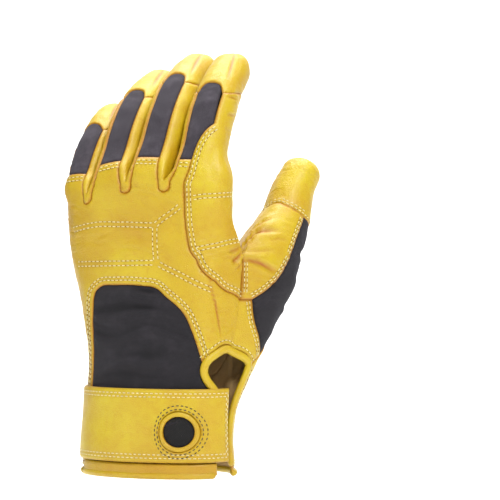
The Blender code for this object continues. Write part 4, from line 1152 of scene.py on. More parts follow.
def grain_group():
    """Leather grain: cells, fine pores and slow waves as one height, and a mask of slow stains."""
    name = "Leather grain"
    if name in bpy.data.node_groups:
        return bpy.data.node_groups[name]
    group, start, end = new_group(name, "Cells per metre", 900.0, ("Height", "Stain"))
    link = group.links.new
    cells = node(group, "ShaderNodeTexVoronoi", feature="DISTANCE_TO_EDGE")
    pores = node(group, "ShaderNodeTexNoise", Scale=2600.0, Detail=3.0)
    waves = node(group, "ShaderNodeTexNoise", Scale=170.0, Detail=5.0, Roughness=0.62)
    waves.inputs["Distortion"].default_value = 0.6
    stains = node(group, "ShaderNodeTexNoise", Scale=24.0, Detail=3.0, Roughness=0.55)
    for target in (cells, pores, waves, stains):
        link(start.outputs["Coordinate"], target.inputs["Vector"])
    link(start.outputs["Cells per metre"], cells.inputs["Scale"])
    rounded_cells = node(group, "ShaderNodeMapRange", interpolation_type="SMOOTHSTEP")
    rounded_cells.inputs["From Max"].default_value = 0.35
    link(cells.outputs["Distance"], rounded_cells.inputs["Value"])
    height = waves.outputs["Fac"]
    for added, share in ((rounded_cells.outputs["Result"], 0.35), (pores.outputs["Fac"], 0.18)):
        total = node(group, "ShaderNodeMath", operation="MULTIPLY_ADD")
        total.inputs[1].default_value = share
        link(added, total.inputs[0])
        link(height, total.inputs[2])
        height = total.outputs[0]
    link(height, end.inputs["Height"])
    link(stains.outputs["Fac"], end.inputs["Stain"])
    return group


def knit_group():
    """Fine knit: two crossed wave bands as height and as a light and dark mask."""
    name = "Fine knit"
    if name in bpy.data.node_groups:
        return bpy.data.node_groups[name]
    group, start, end = new_group(name, "Threads per metre", 700.0, ("Height", "Mask"))
    link = group.links.new
    factors = []
    for turn in (0.62, -0.62):
        turned = node(group, "ShaderNodeVectorRotate", rotation_type="Y_AXIS", Angle=turn)
        wave = node(group, "ShaderNodeTexWave", wave_type="BANDS", bands_direction="X")
        wave.inputs["Distortion"].default_value = 1.2
        wave.inputs["Detail Scale"].default_value = 3.0
        link(start.outputs["Coordinate"], turned.inputs["Vector"])
        link(turned.outputs[0], wave.inputs["Vector"])
        link(start.outputs["Threads per metre"], wave.inputs["Scale"])
        factors.append(wave.outputs["Fac"])
    specks = node(group, "ShaderNodeTexNoise", Scale=1500.0, Detail=2.0)
    link(start.outputs["Coordinate"], specks.inputs["Vector"])
    found = factors[0]
    for other, output in ((factors[1], "Height"), (specks.outputs["Fac"], "Mask")):
        product = node(group, "ShaderNodeMath", operation="MULTIPLY")
        link(found, product.inputs[0])
        link(other, product.inputs[1])
        found = product.outputs[0]
        link(found, end.inputs[output])
    return group


def mixed(tree, first, second, factor):
    """A colour between the first and the second, by a factor; colours are sockets or values."""
    mix = node(tree, "ShaderNodeMix", data_type="RGBA")
    for socket, value in ((mix.inputs[6], first), (mix.inputs[7], second)):
        if hasattr(value, "is_output"):
            tree.links.new(value, socket)
        else:
            socket.default_value = tuple(value)
    tree.links.new(factor, mix.inputs[0])
    return mix.outputs[2]


def ranged(tree, value, low, high, to_low=0.0, to_high=1.0):
    """The value's stretch from low to high, mapped to another stretch."""
    made = node(tree, "ShaderNodeMapRange")
    labels = ("From Min", "From Max", "To Min", "To Max")
    for label, number in zip(labels, (low, high, to_low, to_high)):
        made.inputs[label].default_value = number
    tree.links.new(value, made.inputs["Value"])
    return made.outputs["Result"]


def scaled(colour, share):
    """The colour, its three parts made lighter or darker by a share."""
    return tuple(part * share for part in colour[:3]) + (1.0,)


def new_material(name, **constants):
    """A material's node tree and shader, with constant values on the shader's own sockets."""
    made = bpy.data.materials.new(name)
    made.use_nodes = True
    shader = made.node_tree.nodes["Principled BSDF"]
    for key, value in constants.items():
        shader.inputs[key.replace("_", " ")].default_value = value
    return made, made.node_tree, shader


def textured(tree, kind, **values):
    """A node that reads the object's own coordinates."""
    made = node(tree, kind, **values)
    place = node(tree, "ShaderNodeTexCoord")
    target = made.inputs["Coordinate" if "Coordinate" in made.inputs else "Vector"]
    tree.links.new(place.outputs["Object"], target)
    return made


def finish_surface(tree, shader, height, distance, strength):
    """Bump on the shader from a height."""
    bump = node(tree, "ShaderNodeBump", Strength=strength, Distance=distance)
    tree.links.new(height, bump.inputs["Height"])
    tree.links.new(bump.outputs["Normal"], shader.inputs["Normal"])


def leather(name, colour, deep, roughness=0.40, cells=900.0, coat=0.20):
    """Grained leather with random stains. Painted shade darkens and reddens it in the grain's
    hollows, so that its raised waves look paler, and in seams and creases.
    """
    if name in bpy.data.materials:
        return bpy.data.materials[name]
    made, tree, shader = new_material(
        name,
        Specular_IOR_Level=0.38,
        Coat_Weight=coat,
        Coat_Roughness=0.36,
        Subsurface_Weight=0.04,
        Subsurface_Radius=(0.004, 0.0015, 0.0004),
        Subsurface_Scale=0.4,
    )
    grain = textured(tree, "ShaderNodeGroup", node_tree=grain_group())
    grain.inputs["Cells per metre"].default_value = cells
    height, stain = grain.outputs["Height"], grain.outputs["Stain"]
    painted_shade = node(tree, "ShaderNodeAttribute", attribute_name="painted_shade").outputs["Fac"]
    bright = (min(1.0, colour[0] * 1.10), min(1.0, colour[1] * 1.22), colour[2] * 1.5, 1.0)
    ground = mixed(tree, bright, colour, ranged(tree, stain, 0.30, 0.56))
    stained = tuple(0.6 * a + 0.4 * b for a, b in zip(colour, deep))
    ground = mixed(tree, ground, stained, ranged(tree, stain, 0.36, 0.74, 0.0, 0.32))
    # Painted shade in the grain's hollows: the lower the grain, the nearer the colour is to the
    # deep colour.
    ground = mixed(tree, ground, deep, ranged(tree, height, 0.35, 0.72, 0.28, 0.0))
    # Painted shade from the point attribute: seams, creases and shaded sides.
    ground = mixed(tree, ground, deep, ranged(tree, painted_shade, 0.06, 1.0, 0.0, 0.92))
    tree.links.new(ground, shader.inputs["Base Color"])
    worn = ranged(tree, height, 0.3, 1.0, roughness + 0.16, roughness - 0.05)
    tree.links.new(worn, shader.inputs["Roughness"])
    finish_surface(tree, shader, height, 0.6 * MM, 0.6)
    return made


def fabric(name, colour, threads=700.0, roughness=0.85):
    """Fine knit fabric with a soft sheen, paler in clouds as a painted sheen, and darker as painted
    shade towards its seams and in its folds.
    """
    if name in bpy.data.materials:
        return bpy.data.materials[name]
    made, tree, shader = new_material(
        name,
        Roughness=roughness,
        Sheen_Weight=0.03,
        Sheen_Roughness=0.5,
        Sheen_Tint=(0.75, 0.72, 0.80, 1.0),
        Specular_IOR_Level=0.3,
    )
    knit = textured(tree, "ShaderNodeGroup", node_tree=knit_group())
    knit.inputs["Threads per metre"].default_value = threads
    clouds = textured(tree, "ShaderNodeTexNoise", Scale=85.0, Detail=4.0, Roughness=0.6)
    painted_shade = node(tree, "ShaderNodeAttribute", attribute_name="painted_shade").outputs["Fac"]
    light, dark = scaled(colour, 2.3), scaled(colour, 0.3)
    ground = mixed(tree, colour, light, ranged(tree, knit.outputs["Mask"], 0.05, 0.45))
    # Painted sheen: lighter clouds that stand in for sheen bands on the fabric.
    painted_sheen = ranged(tree, clouds.outputs["Fac"], 0.50, 0.72, 0.0, 0.75)
    ground = mixed(tree, ground, light, painted_sheen)
    # Painted shade from the point attribute: towards the seams and in the folds' troughs.
    ground = mixed(tree, ground, dark, ranged(tree, painted_shade, 0.05, 1.0, 0.0, 0.8))
    tree.links.new(ground, shader.inputs["Base Color"])
    finish_surface(tree, shader, knit.outputs["Height"], 0.3 * MM, 0.8)
    return made


def thread_material(name, colour):
    """Twisted thread, a little darker in its twist."""
    if name in bpy.data.materials:
        return bpy.data.materials[name]
    made, tree, shader = new_material(name, Roughness=0.6)
    twist = textured(tree, "ShaderNodeTexNoise", Scale=1800.0, Detail=2.0).outputs["Fac"]
    ground = mixed(tree, scaled(colour, 0.55), colour, ranged(tree, twist, 0.35, 0.6))
    tree.links.new(ground, shader.inputs["Base Color"])
    finish_surface(tree, shader, twist, 0.1 * MM, 0.4)
    return made


SOFTSHELL = (0.0125, 0.0110, 0.0135, 1.0)
PAD_DEEP = (0.20, 0.06, 0.006, 1.0)
FLESH, FLESH_DEEP = (0.42, 0.27, 0.10, 1.0), (0.18, 0.09, 0.03, 1.0)
# Painted shade of the needle holes.
NEEDLE_HOLE_SHADE = (0.17, 0.055, 0.003, 1.0)
DARK_THREAD = (0.05, 0.035, 0.02, 1.0)
EYELET_WEAVE = (0.002, 0.0018, 0.0018, 1.0)


def golden():
    """The leather of the glove's outside."""
    chosen = colours()
    return leather("golden_leather_finish", tuple(chosen.leather), tuple(chosen.leather_shade_and_stain))


def inner():
    """The rough inner side of the leather."""
    return leather("leather_flesh_side", FLESH, FLESH_DEEP, 0.8, 1500.0, 0.0)


def pale_thread():
    """The thread of the seams."""
    return thread_material("pale_thread", tuple(colours().thread))


def finish_of(kind):
    """The material of a kind of panel."""
    if kind in ("gusset", "wrist"):
        return fabric("wrist_softshell", SOFTSHELL, 900.0)
    if kind == "fabric":
        return fabric("finger_knit", tuple(colours().finger_fabric), 720.0)
    # The pads' leather, with painted shade in its colour.
    if kind == "pad":
        return leather("pad_leather_finish", tuple(colours().pads), PAD_DEEP, 0.5, 1100.0, 0.05)
    return golden()


# Creases. Columns: chart, places, depth and half width in millimetres, how much painted shade
# darkens its colour.
CREASES = [
    ("thumb", [(9.30, 1.07), (9.75, 1.16), (10.20, 1.21)], 1.7, 1.9, 1.0),
    ("thumb", [(9.55, 1.03), (9.95, 1.05), (10.25, 1.06)], 0.5, 1.2, 0.4),
    ("thumb", [(9.15, 1.16), (9.6, 1.24), (10.05, 1.28)], 0.8, 1.4, 0.6),
    ("thumb", [(10.15, 1.13), (10.28, 1.15), (10.38, 1.13)], 0.5, 1.0, 0.5),
    ("hand", [(5.45, 0.975), (5.75, 1.02), (6.0, 1.10)], 1.3, 1.5, 0.95),
    ("hand", [(5.35, 1.08), (5.72, 1.12), (6.1, 1.17)], 0.9, 1.3, 0.7),
    ("hand", [(5.62, 0.945), (5.84, 0.965), (6.0, 1.0)], 0.6, 1.0, 0.6),
    ("hand", [(5.97, 1.0), (6.12, 0.982), (6.24, 0.955), (6.34, 0.925)], 1.6, 1.6, 1.0),
    ("hand", [(5.2, 1.02), (5.5, 1.0), (5.85, 0.95)], 0.4, 1.2, 0.4),
    ("index", [(0.95, 2.545), (1.15, 2.57), (1.5, 2.60)], 0.8, 1.1, 0.6),
    ("index", [(1.1, 2.44), (1.4, 2.47), (1.75, 2.50)], 0.8, 1.2, 0.6),
    ("index", [(1.2, 2.36), (1.5, 2.37), (1.85, 2.40)], 0.45, 1.1, 0.4),
    (
        "hand",
        [(4.88, 0.92), (4.96, 0.836), (5.06, 0.756), (5.21, 0.664), (5.28, 0.62)],
        0.55,
        0.8,
        0.9,
    ),
    ("hand", [(2.9, 1.22), (3.3, 1.28), (3.6, 1.27)], 0.25, 2.5, 0.12),
    ("hand", [(1.3, 1.25), (1.7, 1.3), (2.3, 1.28)], 0.3, 2.4, 0.15),
    ("hand", [(4.1, 1.20), (4.25, 1.38), (4.3, 1.5)], 0.25, 2.0, 0.12),
    ("hand", [(8.4, 1.55), (9.5, 1.62), (10.6, 1.58), (11.6, 1.50)], 0.6, 2.2, 0.35),
    ("hand", [(8.5, 1.30), (9.3, 1.28), (10.3, 1.18), (11.0, 1.05)], 0.7, 2.2, 0.4),
    ("hand", [(11.15, 1.30), (11.5, 1.28), (12.0, 1.26)], 0.6, 1.6, 0.4),
    ("hand", [(11.2, 1.05), (11.6, 1.06), (12.1, 1.02)], 0.5, 1.6, 0.35),
    ("hand", [(7.0, 0.50), (7.7, 0.44), (8.4, 0.36)], 0.6, 2.0, 0.35),
    ("hand", [(9.0, 0.34), (10.0, 0.33), (11.0, 0.37), (11.8, 0.40)], 0.5, 2.2, 0.3),
    ("hand", [(8.9, 0.66), (9.2, 0.58), (9.3, 0.50)], 0.3, 2.2, 0.2),
]
for finger_name, side in (("little", 0.84), ("ring", 0.84), ("middle", 0.84), ("index", 0.86)):
    places = [(side, 2.66), (side - 0.08, 2.78), (side - 0.22, 2.93)]
    CREASES.append((finger_name, places, 0.55, 1.0, 0.9))
for finger_name, low in (("little", 2.36), ("ring", 2.38), ("middle", 2.38), ("index", 2.36)):
    for rise in (low, low + 0.20):
        places = [(2.1, rise), (2.5, rise + 0.012), (2.9, rise)]
        CREASES.append((finger_name, places, 0.6, 1.3, 0.35))


# Fine wrinkles. Columns: chart, the turns and rises they lie between, their number and their lean.
WRINKLES = [
    ("hand", (1.2, 4.3), (1.0, 1.48), 26, 0.1),
    ("hand", (1.1, 4.5), (1.52, 1.95), 22, -0.2),
    ("hand", (4.5, 6.3), (0.9, 1.9), 22, 0.1),
    ("hand", (4.4, 6.0), (0.62, 0.9), 14, 0.0),
    ("hand", (8.2, 11.8), (0.15, 0.6), 30, 0.1),
    ("hand", (8.2, 11.9), (1.0, 1.95), 34, 0.0),
    ("hand", (11.8, 12.9), (0.3, 1.8), 18, 0.0),
    ("thumb", (8.0, 10.4), (1.05, 1.9), 34, 0.1),
    ("thumb", (9.2, 10.4), (1.02, 1.32), 26, -0.3),
    ("hand", (6.03, 6.4), (0.82, 0.99), 12, -0.2),
    ("index", (-0.1, 2.0), (2.1, 2.9), 20, 0.1),
    ("middle", (0.7, 3.0), (2.3, 2.9), 14, 0.1),
    ("ring", (0.7, 3.0), (2.3, 2.9), 14, 0.1),
    ("little", (0.7, 3.4), (2.2, 2.9), 16, 0.1),
]


# Ranges of a wrinkle's half length in turns, and of its depth, half width and painted shade.
WRINKLE_HALF, WRINKLE_DEPTH = (0.16, 0.42), (0.10, 0.30)
WRINKLE_WIDTH, WRINKLE_SHADE = (0.6, 1.1), (0.06, 0.2)
WRINKLE_SEED = 5


def wrinkles():
    """Short shallow folds at seeded places, most of them lying across."""
    rng = np.random.default_rng(WRINKLE_SEED)
    found = []
    for name, turns, rises, count, lean in WRINKLES:
        for _ in range(count):
            turn, rise = rng.uniform(*turns), rng.uniform(*rises)
            half = rng.uniform(*WRINKLE_HALF)
            slope = (lean + rng.normal() * 0.10) * (1.0 if name == "hand" else 0.5)
            bow = rng.normal() * 0.012
            ends = np.clip((rise - slope * half, rise + bow, rise + slope * half), *rises)
            places = list(zip((turn - half, turn, turn + half), ends.tolist()))
            depth, width = rng.uniform(*WRINKLE_DEPTH), rng.uniform(*WRINKLE_WIDTH)
            found.append((name, places, depth, width, rng.uniform(*WRINKLE_SHADE)))
    return found


def crease_lines():
    """Each crease as points on the skin, with its depth there, its half width and its painted
    shade.
    """
    found = []
    for name, places, depth, width, painted_crease_shade in [*CREASES, *wrinkles()]:
        points, _ = on_skin(name, places, CREASE_STEP)
        share = np.linspace(0, 1, len(points))
        found.append((points, depth * MM * np.sin(math.pi * share) ** 0.6, width * MM, painted_crease_shade))
    return found


# Distances of double stitching from its line, in millimetres to the line's right.
ACROSS = (-1.2, 1.2)
OVER = (-1.0, 1.2)
INSET = (-1.8, -3.6)


def stitch_rows():
    """Every stitched row: points and normals on the skin, and the panels that the row crosses."""
    rows = []

    def add(name, places, offsets, *pieces):
        points, normals = on_skin(name, places, ROW_STEP)
        for offset in offsets:
            rows.append((shifted(points, normals, offset * MM), normals, pieces))

    for row in BACK_ROWS:
        add(*row, "back_panel")
    for name in NAMES:
        left, right, low, _ = fabric_outline(name)
        start, end = left + 0.04, 0.40 if name == "index" else right - 0.04
        add(name, [(start, low), ((left + end) / 2, low), (end, low)], (2.3, 4.5), "back_panel")
    patch = [*back_to_front(INDEX_PATCH_BAND_EDGE)[:-1], *back_to_front(INDEX_PATCH_FINGER_EDGE)]
    add("index", patch, (1.8, 3.8), "index_patch")
    add("hand", INDEX_PATCH_HAND_EDGE, (-1.8, -3.8), "index_patch")
    add("hand", [(4.60, 1.80), (4.85, 1.83), (5.6, 1.85), (7.8, 1.86)], OVER, "index_patch")
    add("hand", [(4.66, 1.115), (5.05, 1.18), (5.7, 1.235), (6.6, 1.26)], OVER, "index_patch")
    add("hand", [(6.0, 0.985), (6.005, 0.92), (6.01, 0.84)], (-1.5, -3.1), "thumb_saddle")
    add("hand", WRIST_TOP_EDGE, (2.6, 4.4), "back_panel")
    add("hand", SADDLE_GUSSET_EDGE, (-1.6, -3.2), "thumb_saddle")
    seam = 4 + SADDLE_GUSSET_EDGE[-1][0]
    add("thumb", [(seam, 1.02), (seam, 1.18), (seam, 1.34)], (-1.6, -3.2), "thumb_saddle")
    add("thumb", back_to_front(CAP_SADDLE_EDGE), (1.7, 3.5), "thumb_cap")
    add("thumb", CAP_GUSSET_EDGE, (-1.7,), "thumb_cap")
    add("hand", GUSSET_BACK_EDGE, INSET, "back_panel", "palm_panel")
    thenar = [*THENAR_SIDE_EDGE, *THENAR_PALM_EDGE[1:]]
    add("hand", thenar, (1.8,), "palm_panel")
    add("hand", thenar, (-1.8,), "thenar_panel")
    add("hand", PATCH_PALM_EDGE, INSET, "palm_patch")
    add("hand", THENAR_PATCH_EDGE, INSET, "palm_patch")
    add("hand", [(11.02, 1.0), (11.03, 1.35), (11.02, 1.70)], INSET, "palm_patch")
    add("hand", [(8.0, 1.70), (9.5, 1.70), (11.0, 1.70)], (1.4, 3.2), "palm_patch")
    add("hand", [(10.62, 0.86), (9.9, 1.05), (9.25, 1.24)], ACROSS, "palm_patch")
    add("hand", [(8.15, 1.24), (9.0, 1.24), (9.25, 1.24), (10.9, 1.22)], ACROSS, "palm_patch")
    low = PAD_RISES[0]
    for number, name in enumerate(NAMES):
        add(name, [(2.06, low), (2.5, low), (2.94, low)], (1.7, 3.4), "palm_panel")
        add(name, pad_outline(number)[1:-1], (-1.5,), f"fingertip_{name}")
    add("hand", SLIT_RIGHT_EDGE, (-2.2,), "palm_panel")
    add("hand", SLIT_TOP_EDGE, (-2.6,), "back_panel", "palm_panel")
    turns = np.linspace(SLIT_RIGHT_EDGE[-1][0] + 0.1, 12 + LEFT_SEAM_TURN - 0.05, 14)
    add("hand", [(turn, HEM_RISE + 0.03) for turn in turns], (0.0,), "palm_panel")
    side = LEFT_SEAM_TURN + 0.14
    add("hand", [(side, rise) for rise in (0.42, 0.8, 1.2, 1.55)], (0.0,), "back_panel")
    return rows


# Heights of the panels' outer sides above the skin
FINGER_FABRIC_TOP = -0.55 * MM
SOFT_TOP = -0.45 * MM
PAD_TOP = -0.1 * MM
COVER_TOP = 0.1 * MM
STRIP_TOP = 0.35 * MM

# Soft kinds of panel, and how strongly each is folded
SOFT_KINDS = {"wrist": 1.0, "gusset": 0.35, "fabric": 0.2}


def panel_list():
    """Each panel: name, regions, top, thickness, kind."""
    found = []
    for number, name in enumerate(NAMES):
        cloth, pad, cap = finger_regions(number)
        found.append((f"finger_back_{name}", [(name, cloth)], FINGER_FABRIC_TOP, FABRIC, "fabric"))
        found.append((f"finger_pad_{name}", [(name, pad)], PAD_TOP, LEATHER, "pad"))
        found.append((f"fingertip_{name}", [(name, cap)], COVER_TOP, LEATHER, "leather"))
    for number in range(len(NAMES) - 1):
        name = f"finger_strip_{NAMES[number]}_{NAMES[number + 1]}"
        found.append((name, strip_regions(number), STRIP_TOP, LEATHER, "strip"))
    found.append(("back_panel", back_regions(), COVER_TOP, LEATHER, "leather"))
    found.append(("palm_panel", palm_regions(), 0.0, LEATHER, "leather"))
    found.append(("index_patch", index_patch_regions(), PATCH_RISE, LEATHER, "leather"))
    for name, regions in thumb_regions().items():
        if name == "thumb_gusset":
            found.append((name, regions, SOFT_TOP, FABRIC, "gusset"))
        else:
            top = 0.0 if name == "thumb_cap" else PATCH_RISE
            found.append((name, regions, top, LEATHER, "leather"))
    found.append(("palm_patch", palm_patch_regions(), PATCH_RISE, LEATHER, "leather"))
    found.append(("wrist_panel", wrist_regions(), SOFT_TOP, FABRIC, "wrist"))
    return found


# Relief and its painted shade. Widths are those of the bell curves.
SOFT_EDGE_WIDTH = 0.7
SOFT_EDGE_DROP = 0.6
SEAM_SHADE, SEAM_SHADE_WIDTH = 0.75, 0.55 * MM
NEAR_SEAM_SHADE, NEAR_SEAM_REACH = 0.20, 2.2 * MM
SEWN_DEPTH, SEWN_WIDTH = 0.22 * MM, 0.75 * MM
SEWN_SHADE, SEWN_SHADE_WIDTH = 0.22, 0.8 * MM
PUCKER_HEIGHT, PUCKER_REACH, PUCKER_RATE = 0.06 * MM, 2 * MM, 0.28
CREASE_LIP, CREASE_LIP_PLACE, CREASE_SHADE_WIDTH = 0.45, 1.7, 0.8
# Columns: share, wavelength, seed.
LEATHER_WAVES = ((0.6, 27 * MM, 3), (0.32, 11 * MM, 4), (0.10, 5 * MM, 5))
SOFT_WAVES = 0.4
STRIP_BULGE, STRIP_BULGE_REACH = 0.35 * MM, 2.6 * MM
# Painted shade on the leather: on its sides facing left and right, across the back and near the
# cuff.
LEFT_SIDE_SHADE, RIGHT_SIDE_SHADE, ACROSS_BACK_SHADE, NEAR_CUFF_SHADE, LEATHER_SHADE_RIPPLE = 0.42, 0.30, 0.17, 0.12, 0.35
ACROSS_BACK_SHADE_HEIGHT, ACROSS_BACK_SHADE_SPREAD, NEAR_CUFF_SHADE_TOP = 138 * MM, 24 * MM, 110 * MM
FOLD_HEIGHT, FOLD_WANDER, FOLD_LENGTHS = 2.1 * MM, 3.2 * MM, (14.5 * MM, 7.6 * MM)
FOLD_RIM_REACH = 5 * MM
FOLD_SHADE, FOLD_SHADE_DEPTH = 0.6, 1.2 * MM


def relief(name, kind, points, edges):
    """Height above the skin and painted shade: turned edges, sewn channels, creases and waves, with
    the colour darker in the seams, along the stitching and in the creases.
    """
    size = sizes()
    soft = kind in SOFT_KINDS
    from_rim = rim_gap(points, edges)
    drop = size.edge_drop * (SOFT_EDGE_DROP if soft else 1.0)
    height = -drop * turned_edge(from_rim, size.edge_width * (SOFT_EDGE_WIDTH if soft else 1.0))
    # Painted shade in the seam along the panel's edge, fading inward.
    painted_shade = SEAM_SHADE * bell(from_rim, SEAM_SHADE_WIDTH)
    painted_shade = np.maximum(painted_shade, NEAR_SEAM_SHADE * np.exp(-from_rim / NEAR_SEAM_REACH))
    for line, _, pieces in ROWS:
        at = beside(points, line, LINE_MARGIN) if name in pieces else ()
        if len(at):
            thin = line[:: max(1, int(GRID / ROW_STEP))]
            gap, which, along = gap_to(points[at], thin[:-1], thin[1:])
            pucker = PUCKER_HEIGHT * np.sin((which + along) * 2 * math.pi * PUCKER_RATE)
            sewn = SEWN_DEPTH * bell(gap, SEWN_WIDTH) + pucker * np.exp(-gap / PUCKER_REACH)
            height[at] -= sewn
            # Painted shade along the stitched rows.
            painted_shade[at] = np.maximum(painted_shade[at], SEWN_SHADE * bell(gap, SEWN_SHADE_WIDTH))
    for line, depth, width, painted_crease_shade in FOLDS:
        at = beside(points, line, 4 * width)
        if len(at):
            gap, which, along = gap_to(points[at], line[:-1], line[1:])
            taper = depth[which] * (1 - along) + depth[which + 1] * along
            lip = CREASE_LIP * bell(gap - CREASE_LIP_PLACE * width, width)
            height[at] += taper * (lip - bell(gap, width))
            # Painted shade in the crease.
            shade = painted_crease_shade * taper / depth.max() * bell(gap, CREASE_SHADE_WIDTH * width)
            painted_shade[at] = np.maximum(painted_shade[at], shade)
    waves = sum(share * ripple(points, length, seed) for share, length, seed in LEATHER_WAVES)
    height += size.unevenness * waves * (SOFT_WAVES if soft else 1.0)
    if kind == "strip":
        height += STRIP_BULGE * np.sin(math.pi / 2 * np.clip(from_rim / STRIP_BULGE_REACH, 0, 1))
    return height, painted_shade


def painted_leather_shade(points, normals):
    """Painted shade: the leather darkened and warmed on its sides that face left and right, across
    the back of the hand and towards the cuff.
    """
    side, front, height = normals[:, 0], -normals[:, 1], points[:, 2]
    tone = LEFT_SIDE_SHADE * np.clip(-side - 0.15, 0, 1) ** 1.3
    tone = tone + RIGHT_SIDE_SHADE * np.clip(side - 0.3, 0, 1) ** 1.5
    tone += ACROSS_BACK_SHADE * bell(height - ACROSS_BACK_SHADE_HEIGHT, ACROSS_BACK_SHADE_SPREAD) * np.clip(front, 0, 1)
    tone += NEAR_CUFF_SHADE * np.clip(1 - height / NEAR_CUFF_SHADE_TOP, 0, 1)
    return tone * (1 + LEATHER_SHADE_RIPPLE * ripple(points, 30 * MM, 8))


def wrist_folds(points):
    """Soft horizontal folds of the fabric: two waves along Z that wander and fade across."""
    z = 2 * math.pi * (points[:, 2] + FOLD_WANDER * ripple(points, 38 * MM, 12))
    long, short = FOLD_LENGTHS
    wave = np.sin(z / long) * 0.7 + 0.35 * np.sin(z / short + 1.0)
    return FOLD_HEIGHT * wave * (0.6 + 0.4 * ripple(points, 40 * MM, 14))


UNDERSIDE_SHADE = 0.3


def shell(name, surface, height, thickness, painted_shade, material, base=0.0):
    """A closed sheet: its outer side at a height over the skin, its inner side below, and walls."""
    points, normals, triangles, edges = surface
    count = len(points)
    outer = points + normals * height[:, None]
    under = points + normals * np.broadcast_to(base - thickness, count)[:, None]
    walls = np.column_stack([edges[:, 0], edges[:, 0] + count, edges[:, 1]])
    more = np.column_stack([edges[:, 1], edges[:, 0] + count, edges[:, 1] + count])
    faces = np.vstack([triangles, triangles[:, ::-1] + count, walls, more])
    shade = np.concatenate([painted_shade, np.full(count, UNDERSIDE_SHADE)])
    made = mesh_piece(name, np.vstack([outer, under]), faces, material, shade)
    made.data.materials.append(inner())
    index = np.zeros(len(faces), np.int32)
    index[len(triangles) : 2 * len(triangles)] = 1
    made.data.polygons.foreach_set("material_index", index)
    return made


def surface_of(regions):
    """The welded surface of a piece's regions, with its own edges."""
    points, normals, triangles = welded(regions, GRID)
    return points, normals, triangles, rim(triangles)


def build_panel(name, regions, top, thickness, kind):
    """Builds one panel and notes its finished surface for the stitches."""
    surface = surface_of(regions)
    points, normals, _, edges = surface
    height, painted_shade = relief(name, kind, points, edges)
    if kind in SOFT_KINDS:
        inside = np.clip(rim_gap(points, edges) / FOLD_RIM_REACH, 0, 1)
        folds = wrist_folds(points) * SOFT_KINDS[kind] * inside
        height += folds
        shaded = FOLD_SHADE * np.clip(-folds / FOLD_SHADE_DEPTH, 0, 1) ** 1.5
        painted_shade = np.maximum(painted_shade, shaded)
    else:
        # Painted shade on the sides, across the back and near the cuff.
        painted_shade = np.maximum(painted_shade, painted_leather_shade(points, normals))
    height += top
    SURFACES.append((name, points, points + normals * height[:, None]))
    base = np.minimum(height, 0)
    made = shell(name + "_finished", surface, height, thickness, painted_shade, finish_of(kind), base)
    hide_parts(name)
    slots = {"leather": "golden_leather", "strip": "golden_leather", "pad": "palm_leather"}
    slots.get(kind, "grey_fabric")


TUBE_SIDES = 12
TUBE_STEP = 0.8 * MM


def swept(name, points, normals, radius, flat=1.0):
    """A round cord along a line on the skin, with domed ends: a ring of points carried along it."""
    ahead = unit(np.gradient(points, axis=0))
    side = unit(np.cross(ahead, normals))
    up = np.cross(side, ahead)
    reach = reach_along(points)
    end = np.clip(np.minimum(reach, reach[-1] - reach) / radius, 0, 1)
    scale = np.sqrt(np.clip(1 - (1 - end) ** 2, 0.0, 1)) * 0.98 + 0.02
    angle = (np.arange(TUBE_SIDES) * 2 * math.pi / TUBE_SIDES)[None, :, None]
    ring = np.cos(angle) * side[:, None] + flat * np.sin(angle) * up[:, None]
    grid = points[:, None] + ring * (radius * scale)[:, None, None]
    body = np.vstack([grid.reshape(-1, 3), points[:1], points[-1:]])
    ringed = np.arange(TUBE_SIDES)
    after = np.roll(ringed, -1)
    base = (len(points) - 1) * TUBE_SIDES
    start = np.column_stack([after, ringed, np.full(TUBE_SIDES, len(body) - 2)])
    finish = np.column_stack([base + ringed, base + after, np.full(TUBE_SIDES, len(body) - 1)])
    sides = halved(grid_quads(len(points), TUBE_SIDES, round_columns=True))
    faces = np.vstack([sides, start, finish])
    # The cord evenly a little darker through the painted-shade attribute.
    made = mesh_piece(name, body, faces, golden(), np.full(len(body), 0.15))
    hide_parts(name.removesuffix("_finished"))


# A stitch as a spindle. Columns: place along it as a share of its length, girth and height as
# shares of its radius.
SPINDLE = np.array(
    [
        (-0.5, 0.25, -1.0),
        (-0.36, 0.85, -0.1),
        (0.0, 1.0, 0.35),
        (0.36, 0.85, -0.1),
        (0.5, 0.25, -1.0),
    ]
)
SPINDLE_SIDES = 6


